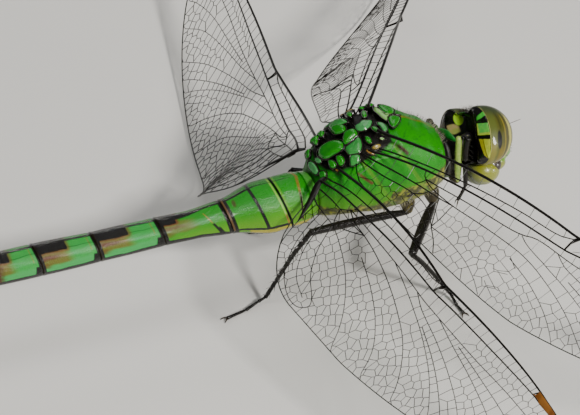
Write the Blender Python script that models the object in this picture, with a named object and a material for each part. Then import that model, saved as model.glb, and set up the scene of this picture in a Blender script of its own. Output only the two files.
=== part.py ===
"""An eastern pondhawk dragonfly, a female, life size, standing on four of its legs.

Lengths are in millimetres and are turned into metres where a mesh is made. The animal's
frame has its origin on the floor below the neck: +X points to where the thorax faces, +Y to
the animal's left, +Z up. One empty carries every piece and puts the middle of the
whole model's footprint on the world's origin.
"""

import math

import bmesh
import bpy
from mathutils import Matrix, Vector

MM = 0.001

# ---- driving dimensions, mm -------------------------------------------------------------
NECK_HEIGHT = 7.5            # height of the neck over the floor
JOINT_GAP = 0.06             # clear gap between neighbouring pieces
WING_THICKNESS = 0.5
LEG_SIDES = 8
THORAX_SIDES = 22
ABDOMEN_SIDES = 18

THORAX_FRONT = -0.72         # X of the front and rear end of the winged thorax
THORAX_REAR = -10.1

SEGMENT_LENGTHS = [0.55, 1.65, 4.00, 4.76, 4.66, 4.25, 4.13, 2.50, 1.50, 0.80]
SEGMENT_ROOF = [0.0, 0.0, 0.15, 0.30, 0.35, 0.35, 0.35, 0.30, 0.25, 0.15]
CERCUS_LENGTH = 1.0

HEAD_SIDES = 20
HEAD_CENTRE = Vector((2.075, 0.25, 1.264 + NECK_HEIGHT))
HEAD_YAW = math.radians(14.5)        # the face turns to the animal's left
HEAD_PITCH = math.radians(18.5)      # and is bent down
HEAD_ROLL = math.radians(31.2)       # with its right side raised
EYE_SEMI = Vector((1.70, 1.50, 2.00))
EYE_OFFSET = 1.47                    # of each eye's centre from the head's middle plane
HEAD_REAR = -0.86                    # of the flat back of the eyes, behind their centres

# chord is measured from the straight line through root and nodus towards the hind edge
FOREWING = {"length": 33.0, "nodus": 16.5, "base_chord": 3.8, "max_chord": 7.8,
            "widest": 19.0, "tip_chord": 2.2, "base_power": 1.1, "rear_powers": (2.6, 0.50)}
HINDWING = {"length": 32.0, "nodus": 13.4, "base_chord": 3.0, "max_chord": 9.0,
            "widest": 7.0, "tip_chord": 2.2, "base_power": 0.5, "rear_powers": (2.2, 0.55)}
WING_BOW = 0.35                      # forward bow of the leading edge before the nodus
WING_OUTER_BOW = 0.22                # and past it
WING_OUTER_BOW_END = 0.84            # where that bow ends, as a share of the length
WING_ROUNDING = 0.68                 # where the front edge starts to curve back to the tip
WING_ROOT = -0.7                     # the plate starts this far inside the root
WING_CORNER = (1.0, 1.2)             # the hind corner beside the body: its end and its depth
WING_PITCH = math.radians(30.0)      # hind edge lower than the front edge, at the root
WING_TWIST = math.radians(14.0)      # how much of that is lost by the tip


# ---- scene and small helpers ------------------------------------------------------------
def clear_scene():
    for obj in list(bpy.data.objects):
        bpy.data.objects.remove(obj, do_unlink=True)


def material(name, colour, roughness, metallic=0.0, alpha=1.0):
    mat = bpy.data.materials.new(name)
    mat.use_nodes = True
    shader = mat.node_tree.nodes["Principled BSDF"]
    shader.inputs["Base Color"].default_value = (*colour, 1.0)
    shader.inputs["Roughness"].default_value = roughness
    shader.inputs["Metallic"].default_value = metallic
    shader.inputs["Alpha"].default_value = alpha
    return mat


def lerp(a, b, t):
    return a + (b - a) * t


def smooth_step(t):
    t = min(max(t, 0.0), 1.0)
    return t * t * (3.0 - 2.0 * t)


def along(stations, x):
    """Values at x, read smoothly from (x, values...) rows sorted by falling x."""
    if x >= stations[0][0]:
        return stations[0][1:]
    for near, far in zip(stations, stations[1:]):
        if x >= far[0]:
            t = smooth_step((x - near[0]) / (far[0] - near[0])) * 0.5
            t += 0.5 * (x - near[0]) / (far[0] - near[0])
            return [lerp(a, b, t) for a, b in zip(near[1:], far[1:])]
    return stations[-1][1:]


def finish_object(name, bm, mat, parent, sharp=40.0):
    bmesh.ops.recalc_face_normals(bm, faces=bm.faces)
    for vert in bm.verts:
        vert.co *= MM
    mesh = bpy.data.meshes.new(name)
    bm.to_mesh(mesh)
    bm.free()
    mesh.materials.append(mat)
    mesh.shade_smooth()
    mesh.set_sharp_from_angle(angle=math.radians(sharp))
    obj = bpy.data.objects.new(name, mesh)
    bpy.context.scene.collection.objects.link(obj)
    obj.parent = parent
    return obj


def loft(rings, start_dome=0.0, end_dome=0.0):
    """A closed skin over rings of equally many points. Each end is a fan round its
    middle, pushed out along the loft by its dome height."""
    bm = bmesh.new()
    rows = [[bm.verts.new(p) for p in ring] for ring in rings]
    for low, high in zip(rows, rows[1:]):
        for i in range(len(low)):
            j = (i + 1) % len(low)
            bm.faces.new((low[i], low[j], high[j], high[i]))
    middles = [sum(ring, Vector()) / len(ring) for ring in rings]
    ends = ((rows[0], middles[0], middles[0] - middles[1], start_dome),
            (rows[-1], middles[-1], middles[-1] - middles[-2], end_dome))
    for row, middle, outward, dome in ends:
        tip = bm.verts.new(middle + outward.normalized() * dome)
        for i in range(len(row)):
            bm.faces.new((row[i], row[(i + 1) % len(row)], tip))
    return bm


def tube_rings(points, radii, sides, flatten=1.0):
    """Rings round a path, each square to it, with the flatter way across the bend."""
    rings = []
    for i, point in enumerate(points):
        before = points[max(i - 1, 0)]
        after = points[min(i + 1, len(points) - 1)]
        heading = (after - before).normalized()
        side = heading.cross(Vector((0, 0, 1)))
        if side.length < 0.2:
            side = heading.cross(Vector((1, 0, 0)))
        side.normalize()
        up = side.cross(heading)
        ring = []
        for k in range(sides):
            turn = 2.0 * math.pi * (k + 0.5) / sides
            ring.append(point + side * (radii[i] * flatten * math.cos(turn))
                        + up * (radii[i] * math.sin(turn)))
        rings.append(ring)
    return rings


def ellipsoid(centre, semi, axes, segments, rings):
    bm = bmesh.new()
    bmesh.ops.create_uvsphere(bm, u_segments=segments, v_segments=rings, radius=1.0)
    for vert in bm.verts:
        local = [vert.co[i] * semi[i] for i in range(3)]
        vert.co = centre + sum((axes[i] * local[i] for i in range(3)), Vector())
    return bm


def cut_plane(bm, point, outward):
    """Removes what lies on the outward side of a plane and closes the cut."""
    parts = list(bm.verts) + list(bm.edges) + list(bm.faces)
    bmesh.ops.bisect_plane(bm, geom=parts, dist=1e-6, plane_co=point, plane_no=outward,
                           clear_outer=True)
    rim = [edge for edge in bm.edges if edge.is_boundary]
    bmesh.ops.holes_fill(bm, edges=rim, sides=0)


def hide_cutter(obj):
    obj.hide_render = True
    obj.display_type = "WIRE"


def boolean(obj, other, operation):
    modifier = obj.modifiers.new(operation.lower() + "_" + other.name, "BOOLEAN")
    modifier.operation = operation
    modifier.solver = "EXACT"
    modifier.object = other


# ---- body sections ----------------------------------------------------------------------
def body_ring(x, sides, top, bottom, wide, half, power=2.0, roof=0.0):
    """One closed section across the body at x. power squares the upper half's shoulders,
    roof turns it into two slopes that meet in a keel."""
    ring = []
    for k in range(sides):
        turn = 2.0 * math.pi * k / sides
        upper = math.cos(turn) >= 0.0
        side = math.copysign(abs(math.sin(turn)) ** (2.0 / power if upper else 0.92),
                             math.sin(turn))
        lift = abs(math.cos(turn)) ** (2.0 / power if upper else 0.92)
        if upper and roof:
            slope = math.asin(min(abs(math.sin(turn)), 1.0)) / (0.5 * math.pi)
            side = lerp(side, math.copysign(slope, math.sin(turn)), roof)
            lift = lerp(lift, 1.0 - slope, roof)
        z = wide + lift * (top - wide) if upper else wide - lift * (wide - bottom)
        ring.append(Vector((x, side * half, NECK_HEIGHT + z)))
    return ring


# x, top, bottom, height of the widest place, half width, squareness of the upper half
THORAX_STATIONS = [
    (-0.72, 2.50, -0.60, 1.0, 1.45, 2.2),
    (-1.05, 2.98, -1.15, 1.0, 2.00, 2.2),
    (-2.10, 3.80, -1.60, 1.0, 2.55, 2.3),
    (-3.40, 4.50, -1.70, 0.9, 2.85, 2.5),
    (-4.50, 4.84, -1.70, 0.8, 3.00, 3.2),
    (-6.40, 4.68, -1.70, 0.7, 2.95, 4.0),
    (-7.60, 4.15, -1.48, 0.6, 2.80, 4.0),
    (-8.60, 3.60, -1.42, 0.5, 2.60, 4.0),
    (-9.40, 2.95, -1.42, 0.3, 2.25, 3.4),
    (-10.1, 1.95, -1.42, 0.1, 1.62, 2.4),
]

# x, half width, top, bottom of the abdomen over the height of its middle line
ABDOMEN_STATIONS = [
    (-10.15, 1.55, 1.55, -1.45),
    (-11.20, 1.78, 1.78, -1.62),
    (-13.60, 1.78, 1.80, -1.72),
    (-16.25, 1.22, 1.25, -1.20),
    (-18.80, 1.00, 1.08, -0.74),
    (-21.20, 1.10, 1.20, -0.72),
    (-25.50, 1.14, 1.34, -0.66),
    (-30.00, 1.22, 1.52, -0.74),
    (-33.50, 1.20, 1.46, -0.76),
    (-36.50, 1.02, 1.16, -0.72),
    (-38.20, 0.82, 0.86, -0.60),
    (-39.10, 0.58, 0.56, -0.46),
]


def abdomen_middle(x):
    """Height of the abdomen's middle line over the neck: it sags a little, then rises."""
    t = (x - THORAX_REAR) / -29.0
    return 0.05 - 0.62 * math.sin(math.pi * min(t * 0.92, 1.0)) * 0.55


def abdomen_ring(x, roof):
    half, top, bottom = along(ABDOMEN_STATIONS, x)
    middle = abdomen_middle(x)
    wide = middle + 0.5 * (top + bottom) - 0.1
    return body_ring(x, ABDOMEN_SIDES, middle + top, middle + bottom, wide, half, 2.0, roof)


def thorax_rings(step, grow=0.0):
    rings = []
    x = THORAX_FRONT
    while x > THORAX_REAR - 1e-6:
        top, bottom, wide, half, power = along(THORAX_STATIONS, x)
        rings.append(body_ring(x, THORAX_SIDES, top + grow, bottom - grow, wide, half + grow,
                               power))
        x -= step
    return rings


def make_thorax(mats, parent):
    bm = loft(thorax_rings((THORAX_FRONT - THORAX_REAR) / 15.0), 0.05, 0.02)
    thorax = finish_object("thorax", bm, mats["thorax"], parent)
    grown = thorax_rings((THORAX_FRONT - THORAX_REAR) / 15.0, JOINT_GAP)
    for ring, shift in ((grown[0], JOINT_GAP), (grown[-1], -JOINT_GAP)):
        for point in ring:
            point.x += shift
    cutter = finish_object("thorax_clearance", loft(grown, 0.05, 0.02), mats["thorax"], parent)
    hide_cutter(cutter)
    return thorax, cutter


def make_abdomen(mats, parent):
    x = THORAX_REAR - JOINT_GAP
    roof = 0.0
    for number, length in enumerate(SEGMENT_LENGTHS, start=1):
        next_roof = SEGMENT_ROOF[number - 1]
        spans = 2 if length < 2.0 else 4
        rings = []
        for i in range(spans + 1):
            t = i / spans
            rings.append(abdomen_ring(x - t * (length - JOINT_GAP), lerp(roof, next_roof, t)))
        finish_object(f"abdomen_{number}", loft(rings), mats["abdomen"], parent)
        x -= length
        roof = next_roof
    return x


def make_tail_parts(end_x, mats, parent):
    """The two cerci behind the last segment, and the spout-like plate under the eighth."""
    height = NECK_HEIGHT + abdomen_middle(end_x)
    for name, side in (("cercus_left", 1), ("cercus_right", -1)):
        path = [Vector((end_x, side * 0.30, height + 0.10)),
                Vector((end_x - 0.5 * CERCUS_LENGTH, side * 0.34, height + 0.14)),
                Vector((end_x - CERCUS_LENGTH, side * 0.30, height + 0.10))]
        bm = loft(tube_rings(path, [0.22, 0.25, 0.12], 8), 0.0, 0.08)
        finish_object(name, bm, mats["abdomen"], parent)
    plate_x = THORAX_REAR - sum(SEGMENT_LENGTHS[:8]) + 0.55
    base = NECK_HEIGHT + abdomen_middle(plate_x) - 0.76 - JOINT_GAP
    path = [Vector((plate_x, 0, base - 0.28)), Vector((plate_x - 0.35, 0, base - 0.45)),
            Vector((plate_x - 0.8, 0, base - 0.85)), Vector((plate_x - 1.05, 0, base - 1.15))]
    bm = loft(tube_rings(path, [0.20, 0.26, 0.25, 0.16], 8, 1.5), 0.05, 0.05)
    finish_object("subgenital_plate", bm, mats["abdomen"], parent)


# ---- head -------------------------------------------------------------------------------
def head_axes():
    """Forward, left and up of the head, from its yaw, pitch and roll."""
    turn = Matrix.Rotation(HEAD_YAW, 3, "Z") @ Matrix.Rotation(HEAD_PITCH, 3, "Y")
    turn = turn @ Matrix.Rotation(-HEAD_ROLL, 3, "X")
    return [turn @ Vector(axis) for axis in ((1, 0, 0), (0, 1, 0), (0, 0, 1))]


def head_point(axes, forward, left, up):
    return HEAD_CENTRE + axes[0] * forward + axes[1] * left + axes[2] * up


def head_ellipsoid(axes, forward, left, up, semi, segments=16, rings=10):
    return ellipsoid(head_point(axes, forward, left, up), semi, axes, segments, rings)


def head_ring(axes, forward, half, top, bottom, power):
    ring = []
    for k in range(HEAD_SIDES):
        turn = 2.0 * math.pi * k / HEAD_SIDES
        side = math.copysign(abs(math.sin(turn)) ** (2.0 / power), math.sin(turn))
        lift = math.copysign(abs(math.cos(turn)) ** (2.0 / power), math.cos(turn))
        up = lift * top if lift > 0 else -lift * bottom
        ring.append(head_point(axes, forward, side * half, up))
    return ring


def keep_part(bm, axes, planes):
    """Cuts a piece of the head by planes, each an axis index, a sign and a distance: what
    lies past that distance along the signed axis is removed."""
    for index, sign, distance in planes:
        cut_plane(bm, HEAD_CENTRE + axes[index] * distance, axes[index] * sign)
    return bm


def make_eyes(axes, mats, parent):
    """The two eyes, cut flat behind and where they meet, and a grown copy of each whole
    eye that clears its place in the pieces round it."""
    clearance = Vector((JOINT_GAP, JOINT_GAP, JOINT_GAP))
    cutters = []
    for name, side in (("eye_left", 1), ("eye_right", -1)):
        bm = head_ellipsoid(axes, 0, side * EYE_OFFSET, 0, EYE_SEMI, 22, 14)
        keep_part(bm, axes, [(0, -1, HEAD_REAR), (1, -side, side * JOINT_GAP * 0.5)])
        finish_object(name, bm, mats["eye"], parent)
        bm = head_ellipsoid(axes, 0, side * EYE_OFFSET, 0, EYE_SEMI + clearance, 22, 14)
        keep_part(bm, axes, [(0, -1, HEAD_REAR - JOINT_GAP)])
        cutter = finish_object(name + "_clearance", bm, mats["eye"], parent)
        hide_cutter(cutter)
        cutters.append(cutter)
    return cutters


# the face's pieces: centre and half sizes of each rounded piece along the head's axes, and
# the planes that part it from its neighbours
FACE_PIECES = [
    ("face", (1.80, 0, -0.80), (1.12, 1.22, 0.98), [(0, -1, 0.92), (2, -1, -1.44)]),
    ("upper_lip", (0.98, 0, -1.98), (0.85, 1.00, 0.78), [(0, -1, 1.10), (2, 1, -1.50)]),
    ("lower_lip", (0.38, 0, -2.52), (1.12, 1.15, 0.88), [(0, 1, 1.04), (2, 1, -2.01)]),
    ("vertex", (1.30, 0, 0.42), (0.62, 0.50, 0.50), [(0, -1, 0.92), (2, -1, 0.20)]),
]


def make_head(mats, parent):
    axes = head_axes()
    eye_cutters = make_eyes(axes, mats, parent)
    # the shell: a flat shield behind the eyes and a narrower block between them
    shell = [head_ring(axes, -1.12, 1.9, 1.25, -1.35, 2.2),
             head_ring(axes, -1.02, 2.45, 1.70, -1.80, 2.3),
             head_ring(axes, -0.72, 2.55, 1.80, -1.92, 2.3),
             head_ring(axes, -0.40, 1.80, 1.84, -1.95, 2.2),
             head_ring(axes, 0.50, 1.30, 1.66, -1.95, 2.2),
             head_ring(axes, 0.86, 1.20, 1.40, -1.93, 2.2)]
    head = finish_object("head", loft(shell, 0.03), mats["head"], parent)
    for cutter in eye_cutters:
        boolean(head, cutter, "DIFFERENCE")
    for name, place, semi, planes in FACE_PIECES:
        bm = keep_part(head_ellipsoid(axes, *place, semi, 16, 10), axes, planes)
        piece = finish_object(name, bm, mats["face"], parent)
        for cutter in eye_cutters:
            boolean(piece, cutter, "DIFFERENCE")
    for name, side in (("antenna_left", 1), ("antenna_right", -1)):
        path = [head_point(axes, 1.98, side * 0.72, 0.40), head_point(axes, 2.5, side * 0.80, 0.56),
                head_point(axes, 3.0, side * 0.90, 0.74), head_point(axes, 3.4, side * 1.0, 0.92)]
        bm = loft(tube_rings(path, [0.25, 0.25, 0.25, 0.16], 6), 0.04, 0.06)
        finish_object(name, bm, mats["head"], parent)


def make_neck(mats, parent):
    axes = head_axes()
    rings = []
    for x, top, bottom, half in ((-0.60, 2.2, -0.9, 1.10), (-0.30, 2.4, -1.0, 1.15),
                                 (0.05, 2.2, -0.7, 0.95), (0.30, 1.9, -0.1, 0.72)):
        rings.append(body_ring(x, ABDOMEN_SIDES, top, bottom, 0.5 * (top + bottom), half, 2.3))
    prothorax = finish_object("prothorax", loft(rings), mats["thorax"], parent)
    # an upright double flap stands on the rear edge of the prothorax
    lobes = []
    for side in (1, -1):
        centre = Vector((-0.30, side * 0.72, NECK_HEIGHT + 2.35))
        lobe_axes = [Vector((1, 0, 0)), Vector((0, 1, 0)), Vector((0, 0, 1))]
        bm = ellipsoid(centre, (0.26, 0.80, 0.62), lobe_axes, 10, 6)
        lobe = finish_object(f"prothorax_lobe_{side}", bm, mats["thorax"], parent)
        hide_cutter(lobe)
        lobes.append(lobe)
    for lobe in lobes:
        boolean(prothorax, lobe, "UNION")
    rear = head_point(axes, -1.15 - JOINT_GAP, 0.0, 0.0)
    start = Vector((0.30 + JOINT_GAP, 0.0, NECK_HEIGHT + 0.95))
    path = [start, start.lerp(rear, 0.5), rear]
    headings = [Vector((1, 0, 0)), (axes[0] + Vector((1, 0, 0))).normalized(), axes[0]]
    rings = []
    for point, heading, radius in zip(path, headings, (0.62, 0.5, 0.55)):
        side = Vector((0, 0, 1)).cross(heading).normalized()
        up = heading.cross(side)
        rings.append([point + (side * math.cos(t) + up * math.sin(t)) * radius
                      for t in [2 * math.pi * k / 12 for k in range(12)]])
    finish_object("neck", loft(rings), mats["head"], parent)


# ---- wings ------------------------------------------------------------------------------
def wing_axes(side, sweep, droop, pitch):
    """Span, chord (towards the hind edge) and upper normal of a wing."""
    sweep, droop = math.radians(sweep), math.radians(droop)
    span = Vector((math.sin(sweep) * math.cos(droop), side * math.cos(sweep) * math.cos(droop),
                   -math.sin(droop)))
    back = Vector((-math.cos(sweep), side * math.sin(sweep), 0.0))
    normal = span.cross(back) * side
    chord = back * math.cos(pitch) - normal * math.sin(pitch)
    return span, chord, normal * math.cos(pitch) + back * math.sin(pitch)


def wing_edges(wing, s):
    """Front and hind edge of the wing at the distance s from its root."""
    length, nodus, tip = wing["length"], wing["nodus"], wing["tip_chord"]
    if s < nodus:
        u = max(s, 0.0) / nodus
        front = -WING_BOW * 4.0 * u * (1.0 - u)
    else:
        bow_length = WING_OUTER_BOW_END * length - nodus
        front = -WING_OUTER_BOW * math.sin(math.pi * min((s - nodus) / bow_length, 1.0))
    v = min(max((s / length - WING_ROUNDING) / (1.0 - WING_ROUNDING), 0.0), 1.0)
    front += tip * (1.0 - (1.0 - v ** 3.2) ** 0.5)
    grow = math.sin(0.5 * math.pi * min(max(s, 0.0) / wing["widest"], 1.0))
    rear = lerp(wing["base_chord"], wing["max_chord"], grow ** wing["base_power"])
    corner_end, corner_depth = WING_CORNER
    if s < corner_end:
        rear -= corner_depth * ((corner_end - s) / (corner_end - WING_ROOT)) ** 2
    if s > wing["widest"]:
        v = min((s - wing["widest"]) / (length - wing["widest"]), 1.0)
        bend, close = wing["rear_powers"]
        rear = tip + (wing["max_chord"] - tip) * (1.0 - v ** bend) ** close
    return front, rear


def wing_rise(wing, s, arch, lift):
    """Height of the wing's middle line over the straight line through root and nodus."""
    if s < wing["nodus"]:
        u = max(s, 0.0) / wing["nodus"]
        return arch * 4.0 * u * (1.0 - u)
    v = (s - wing["nodus"]) / (wing["length"] - wing["nodus"])
    return lift * v ** 1.4


def wing_pitch(wing, side, s):
    """How steeply the wing's width slopes down to its hind edge, at the distance s from its
    root: the right wings flatten outwards, the left ones hang ever more steeply."""
    s = max(s, 0.0)
    if side < 0:
        return WING_PITCH - WING_TWIST * s / wing["length"]
    if wing is FOREWING:
        return math.radians(30.0 + 0.72 * s)
    t = min(max((s - 3.0) / 9.0, 0.0), 1.0)
    return math.radians(31.0 + 18.0 * t * t * (3.0 - 2.0 * t))


def wing_section(wing, place, s, chord_steps, half_thickness):
    root, side, sweep, droop, arch, lift = place
    pitch = wing_pitch(wing, side, s)
    span, chord, normal = wing_axes(side, sweep, droop, pitch)
    upright = wing_axes(side, sweep, droop, 0.0)[2]
    front, rear = wing_edges(wing, s)
    middle = root + span * s + upright * wing_rise(wing, s, arch, lift)
    width = max(rear - front, 0.4)
    line = [middle + chord * (front + width * k / chord_steps) for k in range(chord_steps + 1)]
    upper = [p + normal * half_thickness for p in line]
    lower = [p - normal * half_thickness for p in line]
    return upper + lower[::-1]


def wing_stations(wing):
    """Root first, close together where the outline bends most: at the root and the tip."""
    length, count, tip_count, tip_start = wing["length"], 16, 4, 0.94
    body = [length * tip_start * (i / count) ** 1.25 for i in range(count + 1)]
    tip = [length * (tip_start + (1.0 - tip_start) * math.sin(0.5 * math.pi * i / tip_count))
           for i in range(1, tip_count + 1)]
    return [WING_ROOT] + body + tip


def make_wing(name, wing, place, clearance, mats, parent):
    rings = []
    for s in wing_stations(wing):
        rings.append(wing_section(wing, place, s, 3, 0.5 * WING_THICKNESS))
    obj = finish_object(name, loft(rings), mats["wing"], parent, 30.0)
    root, side, sweep, droop = place[:4]
    # the stout root, a pad that the front edge grows from
    span, chord, normal = wing_axes(side, sweep, droop, WING_PITCH)
    centre = root + chord * 0.85 - normal * 0.18 + span * 0.1
    pad = ellipsoid(centre, (1.05, 1.0, 0.42), [span, chord, normal], 12, 8)
    pad = finish_object(name + "_pad", pad, mats["wing"], parent)
    hide_cutter(pad)
    boolean(obj, pad, "UNION")
    boolean(obj, clearance, "DIFFERENCE")
    return obj


# Root place over the neck, side, forward sweep and droop in degrees, and how far the wing's
# middle line arches up before the nodus and how far its tip is lifted past it
WING_PLACES = [
    ("forewing_left", FOREWING, (-4.90, 1.95, 4.80), 1, 30.9, 13.5, 0.5, -0.25),
    ("forewing_right", FOREWING, (-5.42, -1.95, 4.80), -1, 28.2, 4.5, 0.5, -0.25),
    ("hindwing_left", HINDWING, (-8.82, 2.35, 2.98), 1, 11.3, 14.6, -0.5, 3.4),
    ("hindwing_right", HINDWING, (-8.82, -2.35, 2.92), -1, 8.1, 5.7, 0.5, -0.25),
]


# ---- legs -------------------------------------------------------------------------------
# For each leg: root and end of the hip, knee, ankle and toe over the floor below the neck,
# the radius of the femur, and whether it stands on the floor
LEG_PLACES = [
    ("leg_front_right", (0.15, -0.55, -1.20), (0.05, -1.38, -1.42), (0.06, -1.72, 3.05),
     (0.62, -1.98, -0.85), (0.02, -1.90, -2.02), 0.27, False),
    ("leg_front_left", (0.05, 0.55, -1.20), (-0.10, 1.38, -1.42), (-0.34, 1.62, 1.95),
     (-0.42, 2.25, -1.05), (-0.60, 2.35, -2.45), 0.27, False),
    ("leg_middle_right", (-1.75, -1.05, -1.05), (-1.80, -1.75, -1.90), (-4.99, -5.50, -2.87),
     (-2.09, -5.28, -7.02), (-1.98, -7.36, -7.5), 0.36, True),
    ("leg_middle_left", (-1.75, 1.05, -1.05), (-1.80, 1.75, -1.90), (-4.70, 5.60, -2.75),
     (-2.20, 5.60, -7.02), (-1.30, 7.60, -7.5), 0.36, True),
    ("leg_hind_right", (-3.45, -1.0, -1.35), (-3.60, -1.55, -2.30), (-11.09, -2.20, -1.55),
     (-13.83, -0.86, -7.02), (-17.00, -1.67, -7.5), 0.36, True),
    ("leg_hind_left", (-3.45, 1.0, -1.35), (-3.60, 1.55, -2.30), (-9.60, 4.60, -1.20),
     (-11.10, 6.30, -7.02), (-12.30, 7.90, -7.5), 0.36, True),
]
SHIN_RADIUS = 0.26
# where the shin of a folded leg starts, beside its knee
FOLDED_SHINS = {
    "leg_front_right": (0.58, -2.07, 3.02),
    "leg_front_left": (-0.38, 2.23, 1.98),
}


def over_floor(place):
    return Vector(place) + Vector((0, 0, NECK_HEIGHT))


def limb(name, start, end, radii, mat, parent):
    """A straight tube from start to end with round ends, its radii evenly spaced."""
    path = [start.lerp(end, i / (len(radii) - 1)) for i in range(len(radii))]
    rings = tube_rings(path, radii, LEG_SIDES)
    bm = loft(rings, radii[0] * 0.4, radii[-1] * 0.4)
    return finish_object(name, bm, mat, parent)


def make_tarsus(name, ankle, toe, stands, mat, parent):
    """Foot from the ankle to the claws. A standing foot lies on the floor on a flat."""
    radii = [0.20, 0.25, 0.25, 0.25, 0.25, 0.22]
    path = []
    for i in range(len(radii)):
        t = i / (len(radii) - 1)
        point = ankle.lerp(toe, t)
        if stands:
            point.z = lerp(ankle.z, 0.20, smooth_step(min(t * 1.6, 1.0)))
        path.append(point)
    rings = tube_rings(path, radii, LEG_SIDES)
    if stands:
        for ring in rings:
            for point in ring:
                point.z = max(point.z, 0.0)
    bm = loft(rings, 0.05, 0.05)
    return finish_object(name, bm, mat, parent)


def make_legs(clearance, mats, parent):
    for name, *places, thigh, stands in LEG_PLACES:
        root, hip, knee, ankle, toe = [over_floor(place) for place in places]
        inward = (hip - root).normalized()
        coxa_radii = [0.30] * 4 if name in FOLDED_SHINS else [0.50, 0.52, 0.46, 0.38]
        coxa = limb(name + "_coxa", root, hip - inward * (thigh + 0.10), coxa_radii,
                    mats["leg"], parent)
        boolean(coxa, clearance, "DIFFERENCE")
        down = (knee - hip).normalized()
        limb(name + "_femur", hip, knee - down * 0.10,
             [thigh * share for share in (0.8, 1.0, 1.05, 0.95, 0.85)], mats["leg"], parent)
        if name in FOLDED_SHINS:
            shin_start = over_floor(FOLDED_SHINS[name])
        else:
            shin_start = knee + (ankle - knee).normalized() * (thigh * 0.85 + 0.12)
        limb(name + "_tibia", shin_start, ankle, [SHIN_RADIUS] * 5, mats["leg"], parent)
        foot = ankle + (toe - ankle).normalized() * (SHIN_RADIUS + 0.12)
        make_tarsus(name + "_tarsus", foot, toe, stands, mats["leg"], parent)


# ---- whole animal -----------------------------------------------------------------------
def make_materials():
    return {
        "head": material("head_shell", (0.05, 0.06, 0.03), 0.35),
        "eye": material("compound_eye", (0.25, 0.27, 0.07), 0.12),
        "face": material("face_shell", (0.50, 0.58, 0.16), 0.35),
        "thorax": material("thorax_shell", (0.06, 0.38, 0.03), 0.4),
        "abdomen": material("abdomen_shell", (0.08, 0.42, 0.05), 0.35),
        "wing": material("wing_membrane", (0.75, 0.75, 0.70), 0.2, 0.0, 0.35),
        "leg": material("leg_shell", (0.015, 0.013, 0.012), 0.25),
    }


def centre_on_origin(holder):
    """Moves the whole model so that the middle of its footprint is at the origin."""
    bpy.context.view_layer.update()
    shapes = bpy.context.evaluated_depsgraph_get()
    corners = []
    for obj in bpy.data.objects:
        if obj.type == "MESH" and not obj.hide_render:
            mesh = obj.evaluated_get(shapes).to_mesh()
            corners += [obj.matrix_world @ vert.co for vert in mesh.vertices]
            obj.evaluated_get(shapes).to_mesh_clear()
    low = [min(c[i] for c in corners) for i in range(3)]
    high = [max(c[i] for c in corners) for i in range(3)]
    holder.location = (-0.5 * (low[0] + high[0]), -0.5 * (low[1] + high[1]), -low[2])


def main():
    clear_scene()
    mats = make_materials()
    holder = bpy.data.objects.new("dragonfly", None)
    bpy.context.scene.collection.objects.link(holder)
    clearance = make_thorax(mats, holder)[1]
    end_x = make_abdomen(mats, holder)
    make_tail_parts(end_x, mats, holder)
    make_neck(mats, holder)
    make_head(mats, holder)
    for name, wing, root, *pose in WING_PLACES:
        make_wing(name, wing, (over_floor(root), *pose), clearance, mats, holder)
    make_legs(clearance, mats, holder)
    centre_on_origin(holder)


main()
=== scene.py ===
"""Looks of a female eastern pondhawk dragonfly, life size, standing with spread wings.

Lengths are in millimetres in the animal's own frame until a mesh is made: +X the way the
thorax faces, +Y the animal's left, +Z up, with heights counted from the neck.
"""

import math
import random

import bpy
from mathutils import Matrix, Vector

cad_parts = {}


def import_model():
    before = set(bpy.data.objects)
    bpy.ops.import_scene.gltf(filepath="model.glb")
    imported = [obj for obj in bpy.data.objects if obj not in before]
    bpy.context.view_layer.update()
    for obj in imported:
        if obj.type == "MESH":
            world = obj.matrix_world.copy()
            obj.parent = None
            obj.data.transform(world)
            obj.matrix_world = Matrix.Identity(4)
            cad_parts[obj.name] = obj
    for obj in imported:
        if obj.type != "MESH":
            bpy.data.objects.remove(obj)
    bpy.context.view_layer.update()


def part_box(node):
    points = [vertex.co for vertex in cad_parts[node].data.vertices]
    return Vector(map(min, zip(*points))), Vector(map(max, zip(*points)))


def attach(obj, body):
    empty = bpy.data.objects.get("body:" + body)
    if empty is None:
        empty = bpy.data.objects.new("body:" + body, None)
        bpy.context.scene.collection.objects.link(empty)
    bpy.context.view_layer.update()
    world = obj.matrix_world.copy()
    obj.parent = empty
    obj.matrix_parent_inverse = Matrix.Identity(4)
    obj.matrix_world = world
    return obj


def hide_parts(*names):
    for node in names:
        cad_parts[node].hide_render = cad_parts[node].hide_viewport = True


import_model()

MM = 0.001
NECK_HEIGHT = 7.5
THORAX_FRONT = -0.67                 # X of the thorax node's foremost point
thorax_low, thorax_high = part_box("thorax")
ORIGIN = Vector((thorax_high.x - THORAX_FRONT * MM, 0.5 * (thorax_low.y + thorax_high.y), 0.0))
LIFT = Vector((0.0, 0.0, NECK_HEIGHT))


# ---- numbers ----
def lerp(a, b, t):
    return a + (b - a) * t


def clamp(t, low=0.0, high=1.0):
    return min(max(t, low), high)


def smooth(low, high, x):
    t = clamp((x - low) / (high - low))
    return t * t * (3.0 - 2.0 * t)


def bump_at(x, centre, half):
    """A hump of height one round a centre."""
    t = (x - centre) / half
    return math.exp(-t * t)


def curve_at(points, x):
    """A smooth line through (x, value) points sorted by rising x."""
    if x <= points[0][0]:
        return points[0][1]
    if x >= points[-1][0]:
        return points[-1][1]
    i = 0
    while points[i + 1][0] < x:
        i += 1
    (x0, y0), (x1, y1) = points[i], points[i + 1]
    before = points[i - 1] if i else points[i]
    after = points[i + 2] if i + 2 < len(points) else points[i + 1]
    m0 = (y1 - before[1]) / (x1 - before[0])
    m1 = (after[1] - y0) / (after[0] - x0)
    h, t = x1 - x0, (x - x0) / (x1 - x0)
    return ((2 * t ** 3 - 3 * t * t + 1) * y0 + (t ** 3 - 2 * t * t + t) * h * m0
            + (3 * t * t - 2 * t ** 3) * y1 + (t ** 3 - t * t) * h * m1)


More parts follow.
